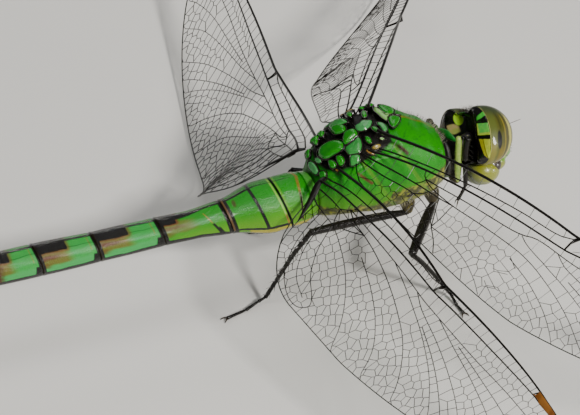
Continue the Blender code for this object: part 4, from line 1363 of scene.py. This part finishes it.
def plate(index, height, tone, edge):
    """A cushion-shaped plate lying on the back inside a closed edge."""
    edge = [Vector(p) for p in edge]
    centre = sum(edge, Vector()) / len(edge)
    facing = Vector()
    for a, b in zip(edge, edge[1:] + edge[:1]):
        facing += (a - centre).cross(b - centre)
    facing.normalize()
    lift = 0.12 if centre.x > -5.2 else 0.04
    if facing.z < 0.0:
        facing.negate()
        edge.reverse()
    closed = [(i, *p) for i, p in enumerate([edge[-1], *edge, edge[0], edge[1]], start=-1)]
    levels = [(0.9, -0.3), (1.12, -0.2), (1.18, -0.03), (1.15, 0.08), (1.06, 0.14), (1.01, 0.3),
              (0.94, 0.6), (0.83, 0.82), (0.67, 0.94), (0.45, 1.0), (0.2, 1.0)]

    def place(ring, turn):
        share, rise = levels[ring]
        rise = lift + rise * (height if rise > 0.0 else 1.0)
        if turn is None:
            return centre + facing * rise
        where = (turn / (2.0 * math.pi) % 1.0) * len(edge)
        point = Vector([curve_at([(row[0], row[axis]) for row in closed], where)
                        for axis in (1, 2, 3)])
        return centre.lerp(point, share) + facing * rise

    obj = tube(f"plate_{index}", max(6 * len(edge), 36), len(levels), place)
    mark(obj, "tone", lambda p: tone)
    mark(obj, "rim", lambda p: 1.0 - clamp(((p - centre).dot(facing) - lift) / height))
    seam = [place(3, 2.0 * math.pi * i / 40) for i in range(41)]
    SEAMS.append([(world(p + facing * 0.02), 0.045 if centre.x > -5.2 else 0.035) for p in seam])
    return obj


SEAMS = []


def make_plates():
    pieces = []
    for height, tone, both, edge in PLATES:
        pieces.append(plate(len(pieces), height, tone, edge))
        if both:
            mirrored = [(x, -y, z) for x, y, z in edge]
            pieces.append(plate(len(pieces), height, tone, mirrored))
    finish_piece(join("thorax_plates", pieces), plate_material())
    seams = wires("plate_seams", SEAMS, 6)
    paint_rod(seams, "plate_seam", (0.02, 0.012, 0.008), BLACK, None)


def plate_material():
    paint = Paint("back_plate_shell", Coat_Weight=0.15, Coat_Roughness=0.12)
    tone, rim = paint.attribute("tone"), paint.attribute("rim")
    fine = paint.noise(4.0)
    paint.coat = paint.mix(GREEN, DEEP_GREEN, fine.step(-0.2, 1.2) * 0.6)
    paint.over((0.06, 0.3, 0.09), tone.step(0.5, 0.9) * 0.8)
    paint.over((0.19, 0.43, 0.1), tone.step(1.5, 1.9))
    paint.over((0.24, 0.13, 0.02), tone.step(2.5, 2.9))
    paint.over(BLACK, (rim + fine * 0.03).step(0.74, 0.8))
    paint.relief(paint.noise(9.0), 0.35, 0.03)
    return paint.done(Roughness=fine * 0.06 + 0.22)


# ---- spines and hair ----
def bristles(name, hairs, sides, steps=2, place_on_skin=None):
    """Many closed tapering hairs in one mesh. A hair is (root, tip, bend, radius) in body
    millimetres. place_on_skin(root) gives a hair its patch on the coat's UV map."""
    points, faces, patches = [], [], []
    for root, tip, bend, radius in hairs:
        root, tip, bend = Vector(root), Vector(tip), Vector(bend)
        _, left, up = side_axes(tip - root)
        first = len(points)
        for i in range(steps):
            t = i / steps
            centre = root.lerp(tip, t) + bend * (4.0 * t * (1.0 - t))
            for k in range(sides):
                turn = 2.0 * math.pi * k / sides
                points.append(world(centre + (left * math.cos(turn) + up * math.sin(turn))
                                    * radius * (1.0 - 0.75 * t)))
        points.append(world(tip))
        faces.append([first + k for k in reversed(range(sides))])
        for i in range(steps - 1):
            low = first + i * sides
            for k in range(sides):
                after = (k + 1) % sides
                faces.append([low + k, low + after, low + sides + after, low + sides + k])
        top = first + (steps - 1) * sides
        for k in range(sides):
            faces.append([top + k, top + (k + 1) % sides, len(points) - 1])
        patches += [place_on_skin(root) if place_on_skin else (0.0, 0.0)] * (
            1 + sides * (steps - 1) + sides)
    mesh = bpy.data.meshes.new(name)
    mesh.from_pydata(points, [], faces)
    obj = add_object(name, mesh)
    if place_on_skin:
        layer = mesh.uv_layers.new(name="OFBake")
        for face, (u, v) in zip(mesh.polygons, patches):
            for number, loop in enumerate(face.loop_indices):
                turn = 2.0 * math.pi * number / face.loop_total
                layer.data[loop].uv = (u + 0.0015 * math.cos(turn), v + 0.0015 * math.sin(turn))
    face_outwards(obj)
    return obj


# ---- legs ----
# root and end of the hip, knee, start of the shin, ankle and toe, and the femur's radius
LEG_PLACES = {
    "leg_front_right": ((0.1, -0.55, -0.75), (0.12, -1.42, -0.8), (0.05, -1.74, 2.96), (0.56, -2.07, 3.0),
        (0.46, -1.98, -0.95), (-0.05, -1.9, -2.02), 0.25),
    "leg_front_left": ((0.05, 0.55, -1.2), (-0.1, 1.38, -1.42), (-0.34, 1.62, 1.95), (-0.38, 2.23, 1.98),
        (-0.42, 2.25, -1.05), (-0.6, 2.35, -2.45), 0.24),
    "leg_middle_right": ((-1.75, -1.05, -1.05), (-1.8, -1.75, -1.9), (-4.99, -5.5, -2.87),
        (-4.86, -5.49, -3.05), (-2.09, -5.28, -7.02), (-1.98, -7.36, -7.5), 0.36),
    "leg_middle_left": ((-1.75, 1.05, -1.05), (-1.8, 1.75, -1.9), (-4.7, 5.6, -2.75), (-4.6, 5.6, -2.92),
        (-2.2, 5.6, -7.02), (-1.3, 7.6, -7.5), 0.3),
    "leg_hind_right": ((-3.45, -1.0, -1.35), (-3.6, -1.55, -2.3), (-11.09, -2.2, -1.55),
        (-11.18, -2.16, -1.72), (-13.83, -0.86, -7.02), (-17.0, -1.67, -7.5), 0.3),
    "leg_hind_left": ((-3.45, 1.0, -1.35), (-3.6, 1.55, -2.3), (-9.6, 4.6, -1.2), (-9.66, 4.68, -1.4),
        (-11.1, 6.3, -7.02), (-12.3, 7.9, -7.5), 0.3),
}
FLOOR = -NECK_HEIGHT


def leg_material(name, light, dark, pale_side=0.0):
    paint = Paint(name, Coat_Weight=0.1, Coat_Roughness=0.12, Specular_IOR_Level=0.2)
    fine = paint.noise(5.0)
    paint.coat = paint.mix(dark, light, (fine + paint.noise(0.8)).step(0.0, 1.0))
    if pale_side:
        facing = (paint.y + paint.x * 0.3 + fine * 0.04).step(-1.3, -1.52)
        facing = facing * (paint.x + paint.z * 0.02).step(-0.22, -0.12)
        stripe = paint.mix((0.2, 0.36, 0.06), (0.34, 0.42, 0.1), fine.step(-0.5, 0.5))
        paint.over(stripe, facing * pale_side)
    paint.relief(paint.noise(12.0), 0.4, 0.03)
    return paint.done(Roughness=fine * 0.06 + 0.24)


def spine_rows(start, end, count, length, radius, thick, outward, spread):
    """Two rows of stiff spines along the inner side of a leg segment."""
    ahead = (end - start).normalized()
    outward = (outward - ahead * outward.dot(ahead)).normalized()
    across = ahead.cross(outward)
    spines = []
    for side in (1, -1):
        lean = (outward * math.cos(spread) + across * side * math.sin(spread)).normalized()
        for i in range(count):
            t = (i + 0.6 + 0.2 * side) / (count + 0.4)
            root = start.lerp(end, t) + lean * radius * 0.7
            size = length * (0.75 + 0.35 * math.sin(math.pi * t))
            tip = root + (lean * 0.82 + ahead * 0.57) * size
            spines.append((root, tip, lean * size * 0.05, thick))
    return spines


def make_leg(name, mats):
    root, hip, knee, shin, ankle, toe = [Vector(p) for p in LEG_PLACES[name][:6]]
    thigh = LEG_PLACES[name][6]
    folded = "front" in name
    side = 1 if "left" in name else -1
    coxa = rod(name + "_coxa_skin", [root, root.lerp(hip, 0.5), hip],
               [0.34, 0.42, 0.36, 0.24] if folded else [0.5, 0.56, 0.46, 0.3], 16)
    finish_piece(coxa, mats["coxa"], [name + "_coxa"])
    sag = AXES[2] * (0.05 if folded else 0.1)
    femur = rod(name + "_femur_skin", [hip, hip.lerp(knee, 0.3) + sag, hip.lerp(knee, 0.7) + sag,
                                       knee],
                [thigh * 0.6, thigh * 0.95, thigh, thigh * 0.95, thigh * 0.8], 16, 1.0, 20)
    inner = Vector((1.0, side * 0.4, 0.0) if folded else (0.2, side * 0.3, -1.0))
    rows = spine_rows(hip.lerp(knee, 0.12), knee, 13, 0.24, thigh * 0.85, 0.022, inner, 0.5)
    spines = bristles(name + "_femur_spines", rows, 5)
    finish_piece(join(name + "_femur_skin", [femur, spines]),
                 mats["front" if folded else "leg"], [name + "_femur"])
    knob = ball(name + "_knee", knee.lerp(shin, 0.5), (thigh * 0.62,) * 3, None, 16, 10)
    bow = (ankle - shin).cross(AXES[2]).cross(ankle - shin).normalized() * 0.1
    tibia = rod(name + "_tibia_skin", [shin, shin.lerp(ankle, 0.35) + bow, ankle],
                [0.24, 0.25, 0.22, 0.18, 0.16] if folded else [0.18, 0.18, 0.16, 0.15, 0.15],
               14, 1.0, 20)
    low = Vector((1.0, side * 0.5, 0.0) if folded else (0.6, -side * 0.2, -1.0))
    if "hind" in name:
        low = Vector((-1.0, side * 0.6, -0.4))
    rows = spine_rows(shin, ankle, 9, 0.62, 0.13, 0.026, low, 0.62)
    spines = bristles(name + "_tibia_spines", rows, 5, 3)
    finish_piece(join(name + "_tibia_skin", [tibia, knob, spines]), mats["leg"],
                 [name + "_tibia"])
    make_foot(name, ankle, toe, folded, mats)


def make_foot(name, ankle, toe, folded, mats):
    """Three joints of growing length on the floor, and two hooked claws."""
    pieces = []
    tip = toe.copy()
    if not folded:
        tip.z = FLOOR + 0.13
    cuts = [0.0, 0.18, 0.5, 1.0]
    heading = (tip - ankle).normalized()
    spots = [ankle.lerp(tip, t) for t in cuts]
    if not folded:
        spots = [Vector((p.x, p.y, lerp(ankle.z, FLOOR + 0.13, smooth(0.0, 0.5, t))))
                 for p, t in zip(spots, cuts)]
    for number, (start, end) in enumerate(zip(spots, spots[1:])):
        ends = [start.lerp(end, -0.04), start.lerp(end, 0.5), end]
        pieces.append(rod(f"{name}_foot_{number}", ends, [0.075, 0.1, 0.105, 0.125], 12, 1.0, 8))
    under = Vector((0, 0, -1)) if not folded else heading.cross(AXES[2]).normalized()
    rows = spine_rows(spots[1], spots[3], 6, 0.16, 0.09, 0.014, under * 0.3
                      + heading.cross(under), 1.3)
    pieces.append(bristles(name + "_foot_spines", rows, 4))
    finish_piece(join(name + "_tarsus_skin", pieces), mats["leg"], [name + "_tarsus"])
    across = heading.cross(AXES[2]).normalized()
    claws = []
    for turn in (1, -1):
        base = spots[3] + across * turn * 0.05
        mid = base + heading * 0.22 + across * turn * 0.14 + Vector((0, 0, 0.03))
        end = base + heading * 0.4 + across * turn * 0.2
        end.z = FLOOR + 0.015 if not folded else end.z - 0.12
        claws.append(rod(f"{name}_claw_{turn}", [base, mid, end], [0.05, 0.05, 0.035, 0.01],
                         8, 1.0, 8))
    finish_piece(join(name + "_claws", claws), mats["claw"])


def make_legs():
    mats = {"leg": leg_material("black_leg_shell", (0.014, 0.008, 0.004), BLACK),
            "front": leg_material("striped_leg_shell", (0.03, 0.016, 0.008), BLACK, 1.0),
            "coxa": leg_material("hip_shell", (0.26, 0.22, 0.04), (0.03, 0.024, 0.01)),
            "claw": leg_material("claw_shell", (0.09, 0.04, 0.012), (0.02, 0.01, 0.004))}
    for name in LEG_PLACES:
        make_leg(name, mats)


# ---- head ----
HEAD_CENTRE = Vector((2.153, 0.085, 1.367))
EYE_SEMI = Vector((2.45, 1.35, 2.05))
EYE_FORWARD = -0.6                  # of each eye's widest section from the head's centre
EYE_OFFSET = 1.32                    # of each eye's centre from the head's middle plane
EYE_BACK = -1.06                     # of the hind rim of the eyes


def head_axes():
    """Forward, left and up of the head: turned left, bent down, its right side raised."""
    turn = (Matrix.Rotation(math.radians(14.5), 3, "Z")
            @ Matrix.Rotation(math.radians(18.5), 3, "Y")
            @ Matrix.Rotation(math.radians(-31.2), 3, "X"))
    return [turn @ axis for axis in AXES]


HEAD = head_axes()


def head_point(forward, left, up):
    return HEAD_CENTRE + HEAD[0] * forward + HEAD[1] * left + HEAD[2] * up


def soft_floor(value, low, soft):
    """value, but never much under low, with a rounded change."""
    if value - low > 12.0 * soft:
        return value
    return low + soft * math.log(1.0 + math.exp((value - low) / soft))


def make_eyes():
    mat = eye_material()
    for name, side in (("eye_left", 1), ("eye_right", -1)):
        def shape(p, side=side):
            if p.z < 0.0 and side * p.y > 0.0:
                p.y *= eye_reach(p.z) / max(math.sqrt(max(1.0 - p.z * p.z, 0.0)), 0.05)
            left, up = side * EYE_OFFSET + p.y * EYE_SEMI.y, p.z * EYE_SEMI.z
            back = EYE_BACK                      # hollow, under the back of the head
            if abs(left) < 2.5:
                back = max(back, back_depth(left, up)[0] + 0.08)
            p.x = max(p.x, (back - EYE_FORWARD) / EYE_SEMI.x)
            p.y = -side * -soft_floor(side * p.y, -(EYE_OFFSET - 0.012) / EYE_SEMI.y, 0.01)
            return p

        centre = head_point(EYE_FORWARD, side * EYE_OFFSET, 0)
        eye = ball(name + "_skin", centre, EYE_SEMI, HEAD, 112, 72, shape)
        for label, axis, half in (("forward", HEAD[0], EYE_SEMI.x),
                                  ("outward", HEAD[1] * side, EYE_SEMI.y),
                                  ("upward", HEAD[2], EYE_SEMI.z)):
            mark(eye, label, lambda p: (p - centre).dot(axis) / half)
        finish_piece(eye, mat, [name])


def eye_material():
    """Olive, with golden crescents in front and below and one dark false pupil."""
    paint = Paint("compound_eye", Roughness=0.35, Coat_Weight=0.4, Coat_Roughness=0.04,
                  Specular_IOR_Level=0.2)
    forward, outward, upward = [paint.attribute(n) for n in ("forward", "outward", "upward")]
    turn = forward.maths("ARCTAN2", outward) * (180.0 / math.pi)
    height = upward.low(1.0).high(-1.0).maths("ARCSINE") * (180.0 / math.pi)
    wave = paint.noise(0.7, 2.0)
    fine = paint.noise(3.0)
    arc = turn + wave * 1.5
    paint.coat = paint.mix((0.07, 0.086, 0.014), (0.06, 0.06, 0.007),
                           (arc + fine * 3.0).step(0.0, 12.0))
    paint.over((0.17, 0.15, 0.022), (arc + fine * 3.0).step(6.0, -2.0)
               * height.step(-8.0, -26.0) * 0.8)
    paint.over((0.022, 0.024, 0.005), arc.band(11.0, 15.5, 3.0)
               * (height + wave * 5.0).step(2.0, 14.0) * 0.7)
    paint.over((0.15, 0.112, 0.005), (arc + fine * 3.0).band(8.0, 22.0, 5.0)
               * height.step(-14.0, -40.0) * 0.85)
    paint.over((0.23, 0.17, 0.012), arc.band(22.5, 25.0, 1.5) * height.step(50.0, 30.0) * 0.85)
    paint.over((0.04, 0.032, 0.004), arc.band(28.5, 33.5, 2.0) * height.step(48.0, 30.0) * 0.8)
    paint.over((0.105, 0.098, 0.008), arc.step(34.0, 38.0) * 0.8)
    paint.over((0.42, 0.39, 0.06), (arc + fine * 1.5).band(36.5, 46.0, 3.0)
               * height.step(48.0, 26.0) * 0.85)
    paint.over((0.08, 0.088, 0.01), arc.step(50.0, 55.0) * 0.8)
    top = (height + wave * 8.0 + arc * 0.15).step(26.0, 58.0)
    paint.over((0.032, 0.048, 0.02), top * 0.85)
    across, above = (turn - 8.6) / 5.0, (height + 12.5) / 18.0
    pupil = (across * across + above * above).power(0.5)
    paint.over((0.002, 0.002, 0.0015), pupil.step(1.2, 0.85))
    rim = forward.step(-0.166, -0.172) * outward.step(0.15, 0.35)
    paint.over((0.3, 0.31, 0.09), rim)
    paint.over(BLACK, forward.step(-0.184, -0.187))
    facets = paint.cells(26.0)
    paint.relief(facets * -1.0, 0.05, 0.01)
    return paint.done()


def eye_reach(share):
    """How far out an eye's edge lies at a share of its height: full in its lower half."""
    power = 2.0 if share > 0.0 else 2.6
    return max(1.0 - min(abs(share), 1.0) ** power, 0.0) ** (1.0 / power)


def back_outline(turn):
    """Distance from the head's middle to the edge of its back, along a turn from the top
    towards the left: round behind each eye, narrower above and below."""
    sine, cosine = abs(math.sin(turn)), math.cos(turn)
    high = 1.74 if cosine > 0.0 else 1.86
    reach = 1.0 / ((sine / 1.3) ** 2.6 + (abs(cosine) / high) ** 2.6) ** (1 / 2.6)
    for i in range(60):                          # the farthest place inside an eye's edge
        far = 3.0 - i * 0.03
        share = far * cosine / (EYE_SEMI.z - 0.06)
        if abs(far * sine - EYE_OFFSET) < (EYE_SEMI.y - 0.05) * eye_reach(share):
            return max(reach, far + 0.015)
    return reach


def back_depth(left, up):
    """Place of the dish of the head's back, and share of the way to its edge."""
    share = math.hypot(left, up) / back_outline(math.atan2(left, up))
    out = abs(left)
    middle = -0.5 - 0.15 * max(abs(up) - 1.1, 0.0) - 0.7 * clamp(out - 0.3, 0.0, 1.15)
    middle += 0.19 * max(out - 1.45, 0.0)        # a ridge behind each eye, a hollow between
    return lerp(middle, -1.1, smooth(0.84, 0.97, share)), share


# share of the outline and place of each ring of the head's back
BACK_RINGS = [(0.6, -0.3), (0.955, -0.7), (0.985, -0.95), (0.99, -1.02), (0.985, -1.06),
              (0.972, -1.09), (0.955, -1.1), *[(0.93 - 0.06 * i, None) for i in range(15)]]


def make_head_back():
    def place(ring, turn):
        share, forward = BACK_RINGS[ring]
        if turn is None:
            return head_point(-0.25 if ring == 0 else -0.5, 0.0, 0.0)
        reach = back_outline(turn) * share
        left, up = reach * math.sin(turn), reach * math.cos(turn)
        if forward is None:                      # bulging, with a hollow along the middle
            forward = back_depth(left, up)[0]
        return head_point(forward, left, up)

    skin = tube("head_back_skin", 144, len(BACK_RINGS), place)
    finish_piece(skin, head_back_material(), ["head"])


def head_back_material():
    paint = Paint("patched_head_shell", Coat_Weight=0.15, Coat_Roughness=0.1)
    _, left, up = paint.local(HEAD_CENTRE, HEAD)
    fine = paint.noise(4.0)
    paint.coat = paint.mix(BLACK, (0.02, 0.012, 0.008), fine.step(0.1, 0.8))
    left, up = left + fine * 0.03, up + fine * 0.03
    leaf = paint.mix((0.07, 0.4, 0.07), (0.13, 0.48, 0.06), fine.step(-0.5, 0.6))
    lime = paint.mix((0.34, 0.41, 0.02), (0.52, 0.56, 0.06), fine.step(-0.5, 0.6))
    out = left * -1.0                               # the right side
    wedge = paint.patch(out, up, [(1.6, 0.94), (1.9, 1.11), (2.31, 1.22), (2.35, 1.46),
                                 (2.03, 1.58), (1.65, 1.22)])
    paint.over((0.04, 0.38, 0.03), wedge)
    square = out.band(1.6, 2.66, 0.04) * (up + out * 0.03).band(0.06, 0.87, 0.03)
    warm = (up - out * 0.03).step(0.16, 0.04).high((out + up * 0.1).step(1.8, 1.7))
    paint.over(paint.mix(leaf, lime, warm * 0.75), square)
    long = paint.patch(out, up, [(1.66, -0.24), (1.8, -0.88), (1.98, -1.35), (2.26, -1.74),
                                (2.48, -1.55), (2.64, -0.9), (2.64, -0.33)])
    line = out - 2.0 + (up + 0.3) * 0.15
    side = paint.mix(lime, (0.26, 0.24, 0.012), line.step(0.03, -0.03) * 0.75)
    side = paint.mix(side, (0.06, 0.05, 0.01), abs(line).step(0.06, 0.02) * 0.7)
    paint.over(side, long)
    spot = paint.spot(head_point(-0.8, 0.73, 1.28), (1.2, 0.29, 0.43), 0.12, HEAD)
    paint.over((0.25, 0.48, 0.015), spot)
    cheek = paint.patch(left, up, [(0.68, 0.42), (1.05, 0.26), (1.44, 0.36), (1.5, 0.9), (1.05, 0.98),
                               (0.76, 0.82)], 0.06)
    pink = paint.mix((0.2, 0.24, 0.05), (0.34, 0.21, 0.12), (fine + up).step(0.2, 1.5))
    paint.over(pink, cheek * 0.9)
    edge = left.band(1.7, 2.5, 0.1) * (up + fine * 0.3).band(-0.1, 1.15, 0.3)
    paint.over((0.17, 0.17, 0.05), edge * 0.6)
    top = paint.spot(head_point(-0.62, 0.05, 1.62), (0.9, 0.36, 0.26), 0.15, HEAD)
    paint.over((0.02, 0.13, 0.012), top)
    paint.relief(paint.noise(10.0), 0.3, 0.03)
    return paint.done(Roughness=fine * 0.06 + 0.22)


def face_part(name, place, semi, shape=None):
    return ball(name, head_point(*place), semi, HEAD, 48, 32, shape)


def face_material():
    """Lime green face with a smoky lower lip, painted grey shade low on its left rear, and dark seams."""
    paint = Paint("green_face_shell", Coat_Weight=0.35, Coat_Roughness=0.12)
    forward, left, up = paint.local(HEAD_CENTRE, HEAD)
    fine = paint.noise(3.0, 4.0)
    paint.coat = paint.mix((0.08, 0.27, 0.01), (0.16, 0.33, 0.02), fine.step(-0.5, 0.6))
    low = (up + fine * 0.06).step(-1.7, -2.05)
    paint.over((0.2, 0.215, 0.016), low)
    # painted shade: grey-olive on the lower lip's left rear underside, which turns away from the light
    grey = (left + fine * 0.15).step(-0.85, 0.0) * forward.step(0.5, -0.2) * up.step(-1.8, -2.1)
    paint.over((0.075, 0.095, 0.04), grey * 0.9)
    smut = paint.noise(2.2, 4.0).step(0.25, 0.75) * up.step(-1.9, -2.2)
    paint.over((0.11, 0.13, 0.03), smut * 0.6)
    seam = abs(up + 1.46 + left * left * 0.05).step(0.05, 0.02)
    paint.over((0.02, 0.03, 0.01), seam)
    paint.relief(paint.noise(12.0), 0.35, 0.03)
    return paint.done(Roughness=fine * 0.06 + 0.3)


def make_face():
    mat = face_material()

    def frons_shape(p):
        crease = bump_at(p.y, 0.0, 0.16) * smooth(0.1, 0.8, p.z) * 0.12
        shelf = bump_at(p.z, -0.18, 0.1) * smooth(0.0, 0.6, p.x) * 0.05
        return p * (1.0 - crease - shelf)

    def lip_shape(p):
        notch = bump_at(p.y, 0.0, 0.12) * smooth(-0.3, -0.9, p.z) * 0.08
        return p * (1.0 - notch)

    def labium_shape(p):
        halves = bump_at(p.y, 0.0, 0.07) * smooth(0.3, -0.3, p.z) * 0.07
        middle = (bump_at(p.y, 0.34, 0.05) + bump_at(p.y, -0.34, 0.05)) * 0.035
        return p * (1.0 - halves - middle * smooth(0.2, -0.2, p.z))

    for name, place, semi, shape, replaced in (
            ("face_skin", (1.46, 0, -0.92), (1.14, 1.22, 0.98), frons_shape, ["face"]),
            ("clypeus", (1.3, 0, -1.48), (0.9, 1.05, 0.5), None, []),
            ("upper_lip_skin", (1.18, 0, -1.86), (0.86, 1.02, 0.66), lip_shape, ["upper_lip"]),
            ("lower_lip_skin", (0.22, 0.08, -2.4), (1.18, 1.3, 0.96), labium_shape,
             ["lower_lip"])):
        finish_piece(face_part(name, place, semi, shape), mat, replaced)
    for side in (1, -1):
        for kind, place, semi, colour in (
                ("cheek", (0.45, side * 0.9, -1.66), (0.66, 0.42, 0.4), (0.03, 0.022, 0.01)),
                ("jaw", (0.62, side * 0.92, -2.02), (0.5, 0.3, 0.5), (0.02, 0.01, 0.006))):
            paint_rod(face_part(f"{kind}_{side}", place, semi), kind, colour, BLACK, None)
    knob = face_part("vertex_skin", (1.34, 0, 0.36), (0.58, 0.44, 0.52))
    finish_piece(knob, mat, ["vertex"])
    for name, side in (("antenna_left", 1), ("antenna_right", -1)):
        base = face_part(name + "_base", (1.72, side * 0.55, 0.32), (0.17, 0.17, 0.17))
        path = [head_point(1.78, side * 0.58, 0.36), head_point(2.1, side * 0.66, 0.52),
                head_point(2.6, side * 0.8, 0.68), head_point(3.28, side * 0.98, 0.86)]
        thread = rod(name + "_thread", path, [0.1, 0.07, 0.03, 0.024, 0.02, 0.014], 10,
                     1.0, 26)
        feeler = join(name + "_skin", [base, thread])
        paint_rod(feeler, "feeler", (0.035, 0.02, 0.01), BLACK, name)
    for side in (0.0, 0.52, -0.52):
        eye = face_part(f"simple_eye_{side}", (1.86 if side == 0 else 1.5, side, 0.44),
                        (0.1, 0.1, 0.1))
        paint_rod(eye, "simple_eye", (0.3, 0.16, 0.04), (0.1, 0.05, 0.02), None,
                  0.1)


# ---- neck and collar ----
def make_neck():
    rear = head_point(-0.55, 0.0, 0.0)
    neck = rod("neck_skin", [(-0.55, 0, 0.95), (0.3, 0.0, 0.95), rear],
               [0.72, 0.62, 0.46, 0.42, 0.42], 24)
    paint_rod(neck, "neck", (0.025, 0.02, 0.022), BLACK, "neck")
    collar = [(-0.66, 2.15, -0.95, 1.2), (-0.56, 2.25, -1.05, 1.42), (-0.3, 2.22, -1.1, 1.4),
              (-0.05, 1.98, -1.0, 1.18), (0.16, 1.8, -0.7, 1.05), (0.4, 1.7, -0.3, 0.92),
              (0.55, 1.45, 0.0, 0.7)]

    def place(ring, turn):
        x, top, bottom, half = collar[ring]
        if turn is None:
            return (x, 0.0, 0.5 * (top + bottom))
        return (x, *section(turn, top, bottom, 0.5 * (top + bottom), half, 2.2))

    skin = tube("collar_skin", 40, len(collar), place, 1)
    finish_piece(skin, collar_material(), ["prothorax"])
    flaps = []
    for side in (1, -1):
        def flap_shape(p):
            p.z *= 1.0 - 0.3 * abs(p.y)
            p.x += 0.5 * p.z * p.z
            return p

        lean = [Vector((0.95, -side * 0.3, 0)), Vector((0.3, side * 0.95, 0)), Vector((0, 0, 1))]
        height = 2.74 if side < 0 else 1.85      # the head's turn presses the left one down
        flaps.append(ball(f"collar_flap_{side}", (-0.42, side * 0.8, height), (0.14, 0.98, 0.34),
                          lean, 32, 20, flap_shape))
    flap = join("collar_flaps", flaps)
    paint_rod(flap, "collar_flap", (0.01, 0.17, 0.016), (0.004, 0.09, 0.008), None)
    spindle = [head_point(-0.86, -0.02, 0.24), head_point(-0.9, -0.14, 0.0),
               head_point(-0.92, -0.24, -0.2)]
    for name, path, radii in (
            ("neck_plate", spindle, [0.03, 0.09, 0.09, 0.02]),
            ("neck_side_plate", [(0.1, -1.02, 1.35), (0.45, -0.9, 0.9), (0.62, -0.78, 0.35)],
             [0.05, 0.12, 0.12, 0.04])):
        paint_rod(rod(name, path, radii), "neck_plate", (0.5, 0.5, 0.12), (0.35, 0.36, 0.06),
                  None)


def collar_material():
    paint = Paint("dark_collar_shell", Coat_Weight=0.3)
    fine = paint.noise(3.0, 4.0)
    paint.coat = paint.mix(BLACK, (0.045, 0.022, 0.012), fine.step(0.0, 0.8))
    paint.over((0.08, 0.2, 0.03), paint.z.step(-0.3, -0.7) * 0.8)
    paint.relief(paint.noise(10.0), 0.4, 0.03)
    return paint.done()


# ---- coat ----
def skin_hairs(rand, count, pick_place, length, radius, lean, spread):
    """Hairs standing on a skin. pick_place() gives a root and the skin's outward direction."""
    hairs = []
    for _ in range(count):
        root, normal = pick_place()
        normal = Vector(normal).normalized()
        way = normal + Vector(lean) + Vector([rand.uniform(-spread, spread) for _ in range(3)])
        size = length * rand.uniform(0.6, 1.25)
        tip = root + way.normalized() * size
        hairs.append((root - normal * 0.03, tip, Vector(lean) * size * -0.1, radius))
    return hairs


def thorax_hair_place(rand, x_range, turn_range):
    while True:
        x = rand.uniform(*x_range)
        turn = rand.uniform(*turn_range) * rand.choice((1, -1))
        root = thorax_point(x, turn)
        along_turn = thorax_point(x, turn + 0.03) - thorax_point(x, turn - 0.03)
        along_x = thorax_point(x - 0.04, turn) - thorax_point(x + 0.04, turn)
        normal = along_turn.cross(along_x)
        if normal.dot(Vector((0, math.sin(turn), math.cos(turn)))) < 0:
            normal.negate()
        return root, normal


def thorax_patch(root):
    turn = math.atan2(root.y, root.z - 1.4)
    return (clamp(-root.x / 10.4, 0.01, 0.99), clamp(0.5 + turn / (2.0 * math.pi), 0.01, 0.99))


def head_patch(root):
    offset = root - HEAD_CENTRE
    return (clamp(0.5 + 0.16 * offset.dot(HEAD[1]), 0.01, 0.99),
            clamp(0.5 + 0.16 * offset.dot(HEAD[2]), 0.01, 0.99))


def make_coat():
    rand = random.Random(5)

    def on_thorax(count, x_range, turn_range, length, radius, lean, spread):
        return skin_hairs(rand, count, lambda: thorax_hair_place(rand, x_range, turn_range),
                          length, radius, lean, spread)

    def coat(name, hairs, patch, material, root_colour, tip_colour):
        hair = two_tone(material, root_colour, tip_colour, 3.0, (-0.4, 0.6), 2.0, Roughness=0.55)
        finish_piece(bristles(name, hairs, 3, 2, patch), hair)

    dark = on_thorax(330, (-0.9, -4.3), (0.0, 0.9), 0.32, 0.008, (0.05, 0, 0.1), 0.3)
    dark += on_thorax(420, (-4.9, -9.8), (0.0, 0.85), 0.3, 0.01, (-0.1, 0, 0.1), 0.4)
    coat("thorax_dark_hair", dark, thorax_patch, "dark_hair", (0.015, 0.01, 0.008),
         (0.05, 0.035, 0.025))
    pale = on_thorax(380, (-0.9, -9.6), (0.9, 2.3), 0.24, 0.006, (-0.1, 0, -0.1), 0.35)
    pale += on_thorax(90, (-0.8, -1.15), (0.0, 0.7), 0.5, 0.007, (0.5, 0, 0.5), 0.35)
    pale += on_thorax(700, (-1.0, -9.9), (2.2, 3.1), 0.38, 0.008, (-0.2, 0, -0.1), 0.3)
    coat("thorax_pale_hair", pale, thorax_patch, "pale_hair", (0.3, 0.29, 0.16),
         (0.5, 0.48, 0.36))

    def crown():
        side = rand.uniform(-0.75, 0.75)
        return head_point(rand.uniform(-0.8, 0.2), side, 1.66 + rand.uniform(-0.1, 0.1)
                          ), HEAD[2] - HEAD[0] * 0.3

    def cheek():
        side = rand.choice((1, -1))
        return head_point(rand.uniform(-0.8, 0.1), side * rand.uniform(0.7, 1.5),
                          rand.uniform(-1.85, -1.45)), -HEAD[2] - HEAD[0]

    def brow():
        turn = rand.uniform(-0.9, 0.9)
        up = rand.uniform(-0.6, 0.5)
        normal = HEAD[0] * math.cos(turn) + HEAD[1] * math.sin(turn) + HEAD[2] * up
        return (head_point(1.4 + 1.06 * math.cos(turn) * (1 - 0.5 * up * up),
                           1.08 * math.sin(turn) * (1 - 0.5 * up * up), -0.84 + up * 0.9), normal)

    tufts = skin_hairs(rand, 150, crown, 0.52, 0.012, (0, 0, 0.1), 0.4)
    tufts += skin_hairs(rand, 160, cheek, 0.34, 0.012, (-0.2, -0.1, -0.2), 0.4)
    tufts += skin_hairs(rand, 260, brow, 0.28, 0.009, (0, 0, 0.1), 0.3)
    coat("head_hair", tufts, head_patch, "brown_hair", (0.03, 0.018, 0.012),
         (0.16, 0.11, 0.07))


make_wings()
make_abdomen()
make_thorax()
make_legs()
make_head_back()
make_eyes()
make_face()
make_neck()
make_coat()
make_stage()
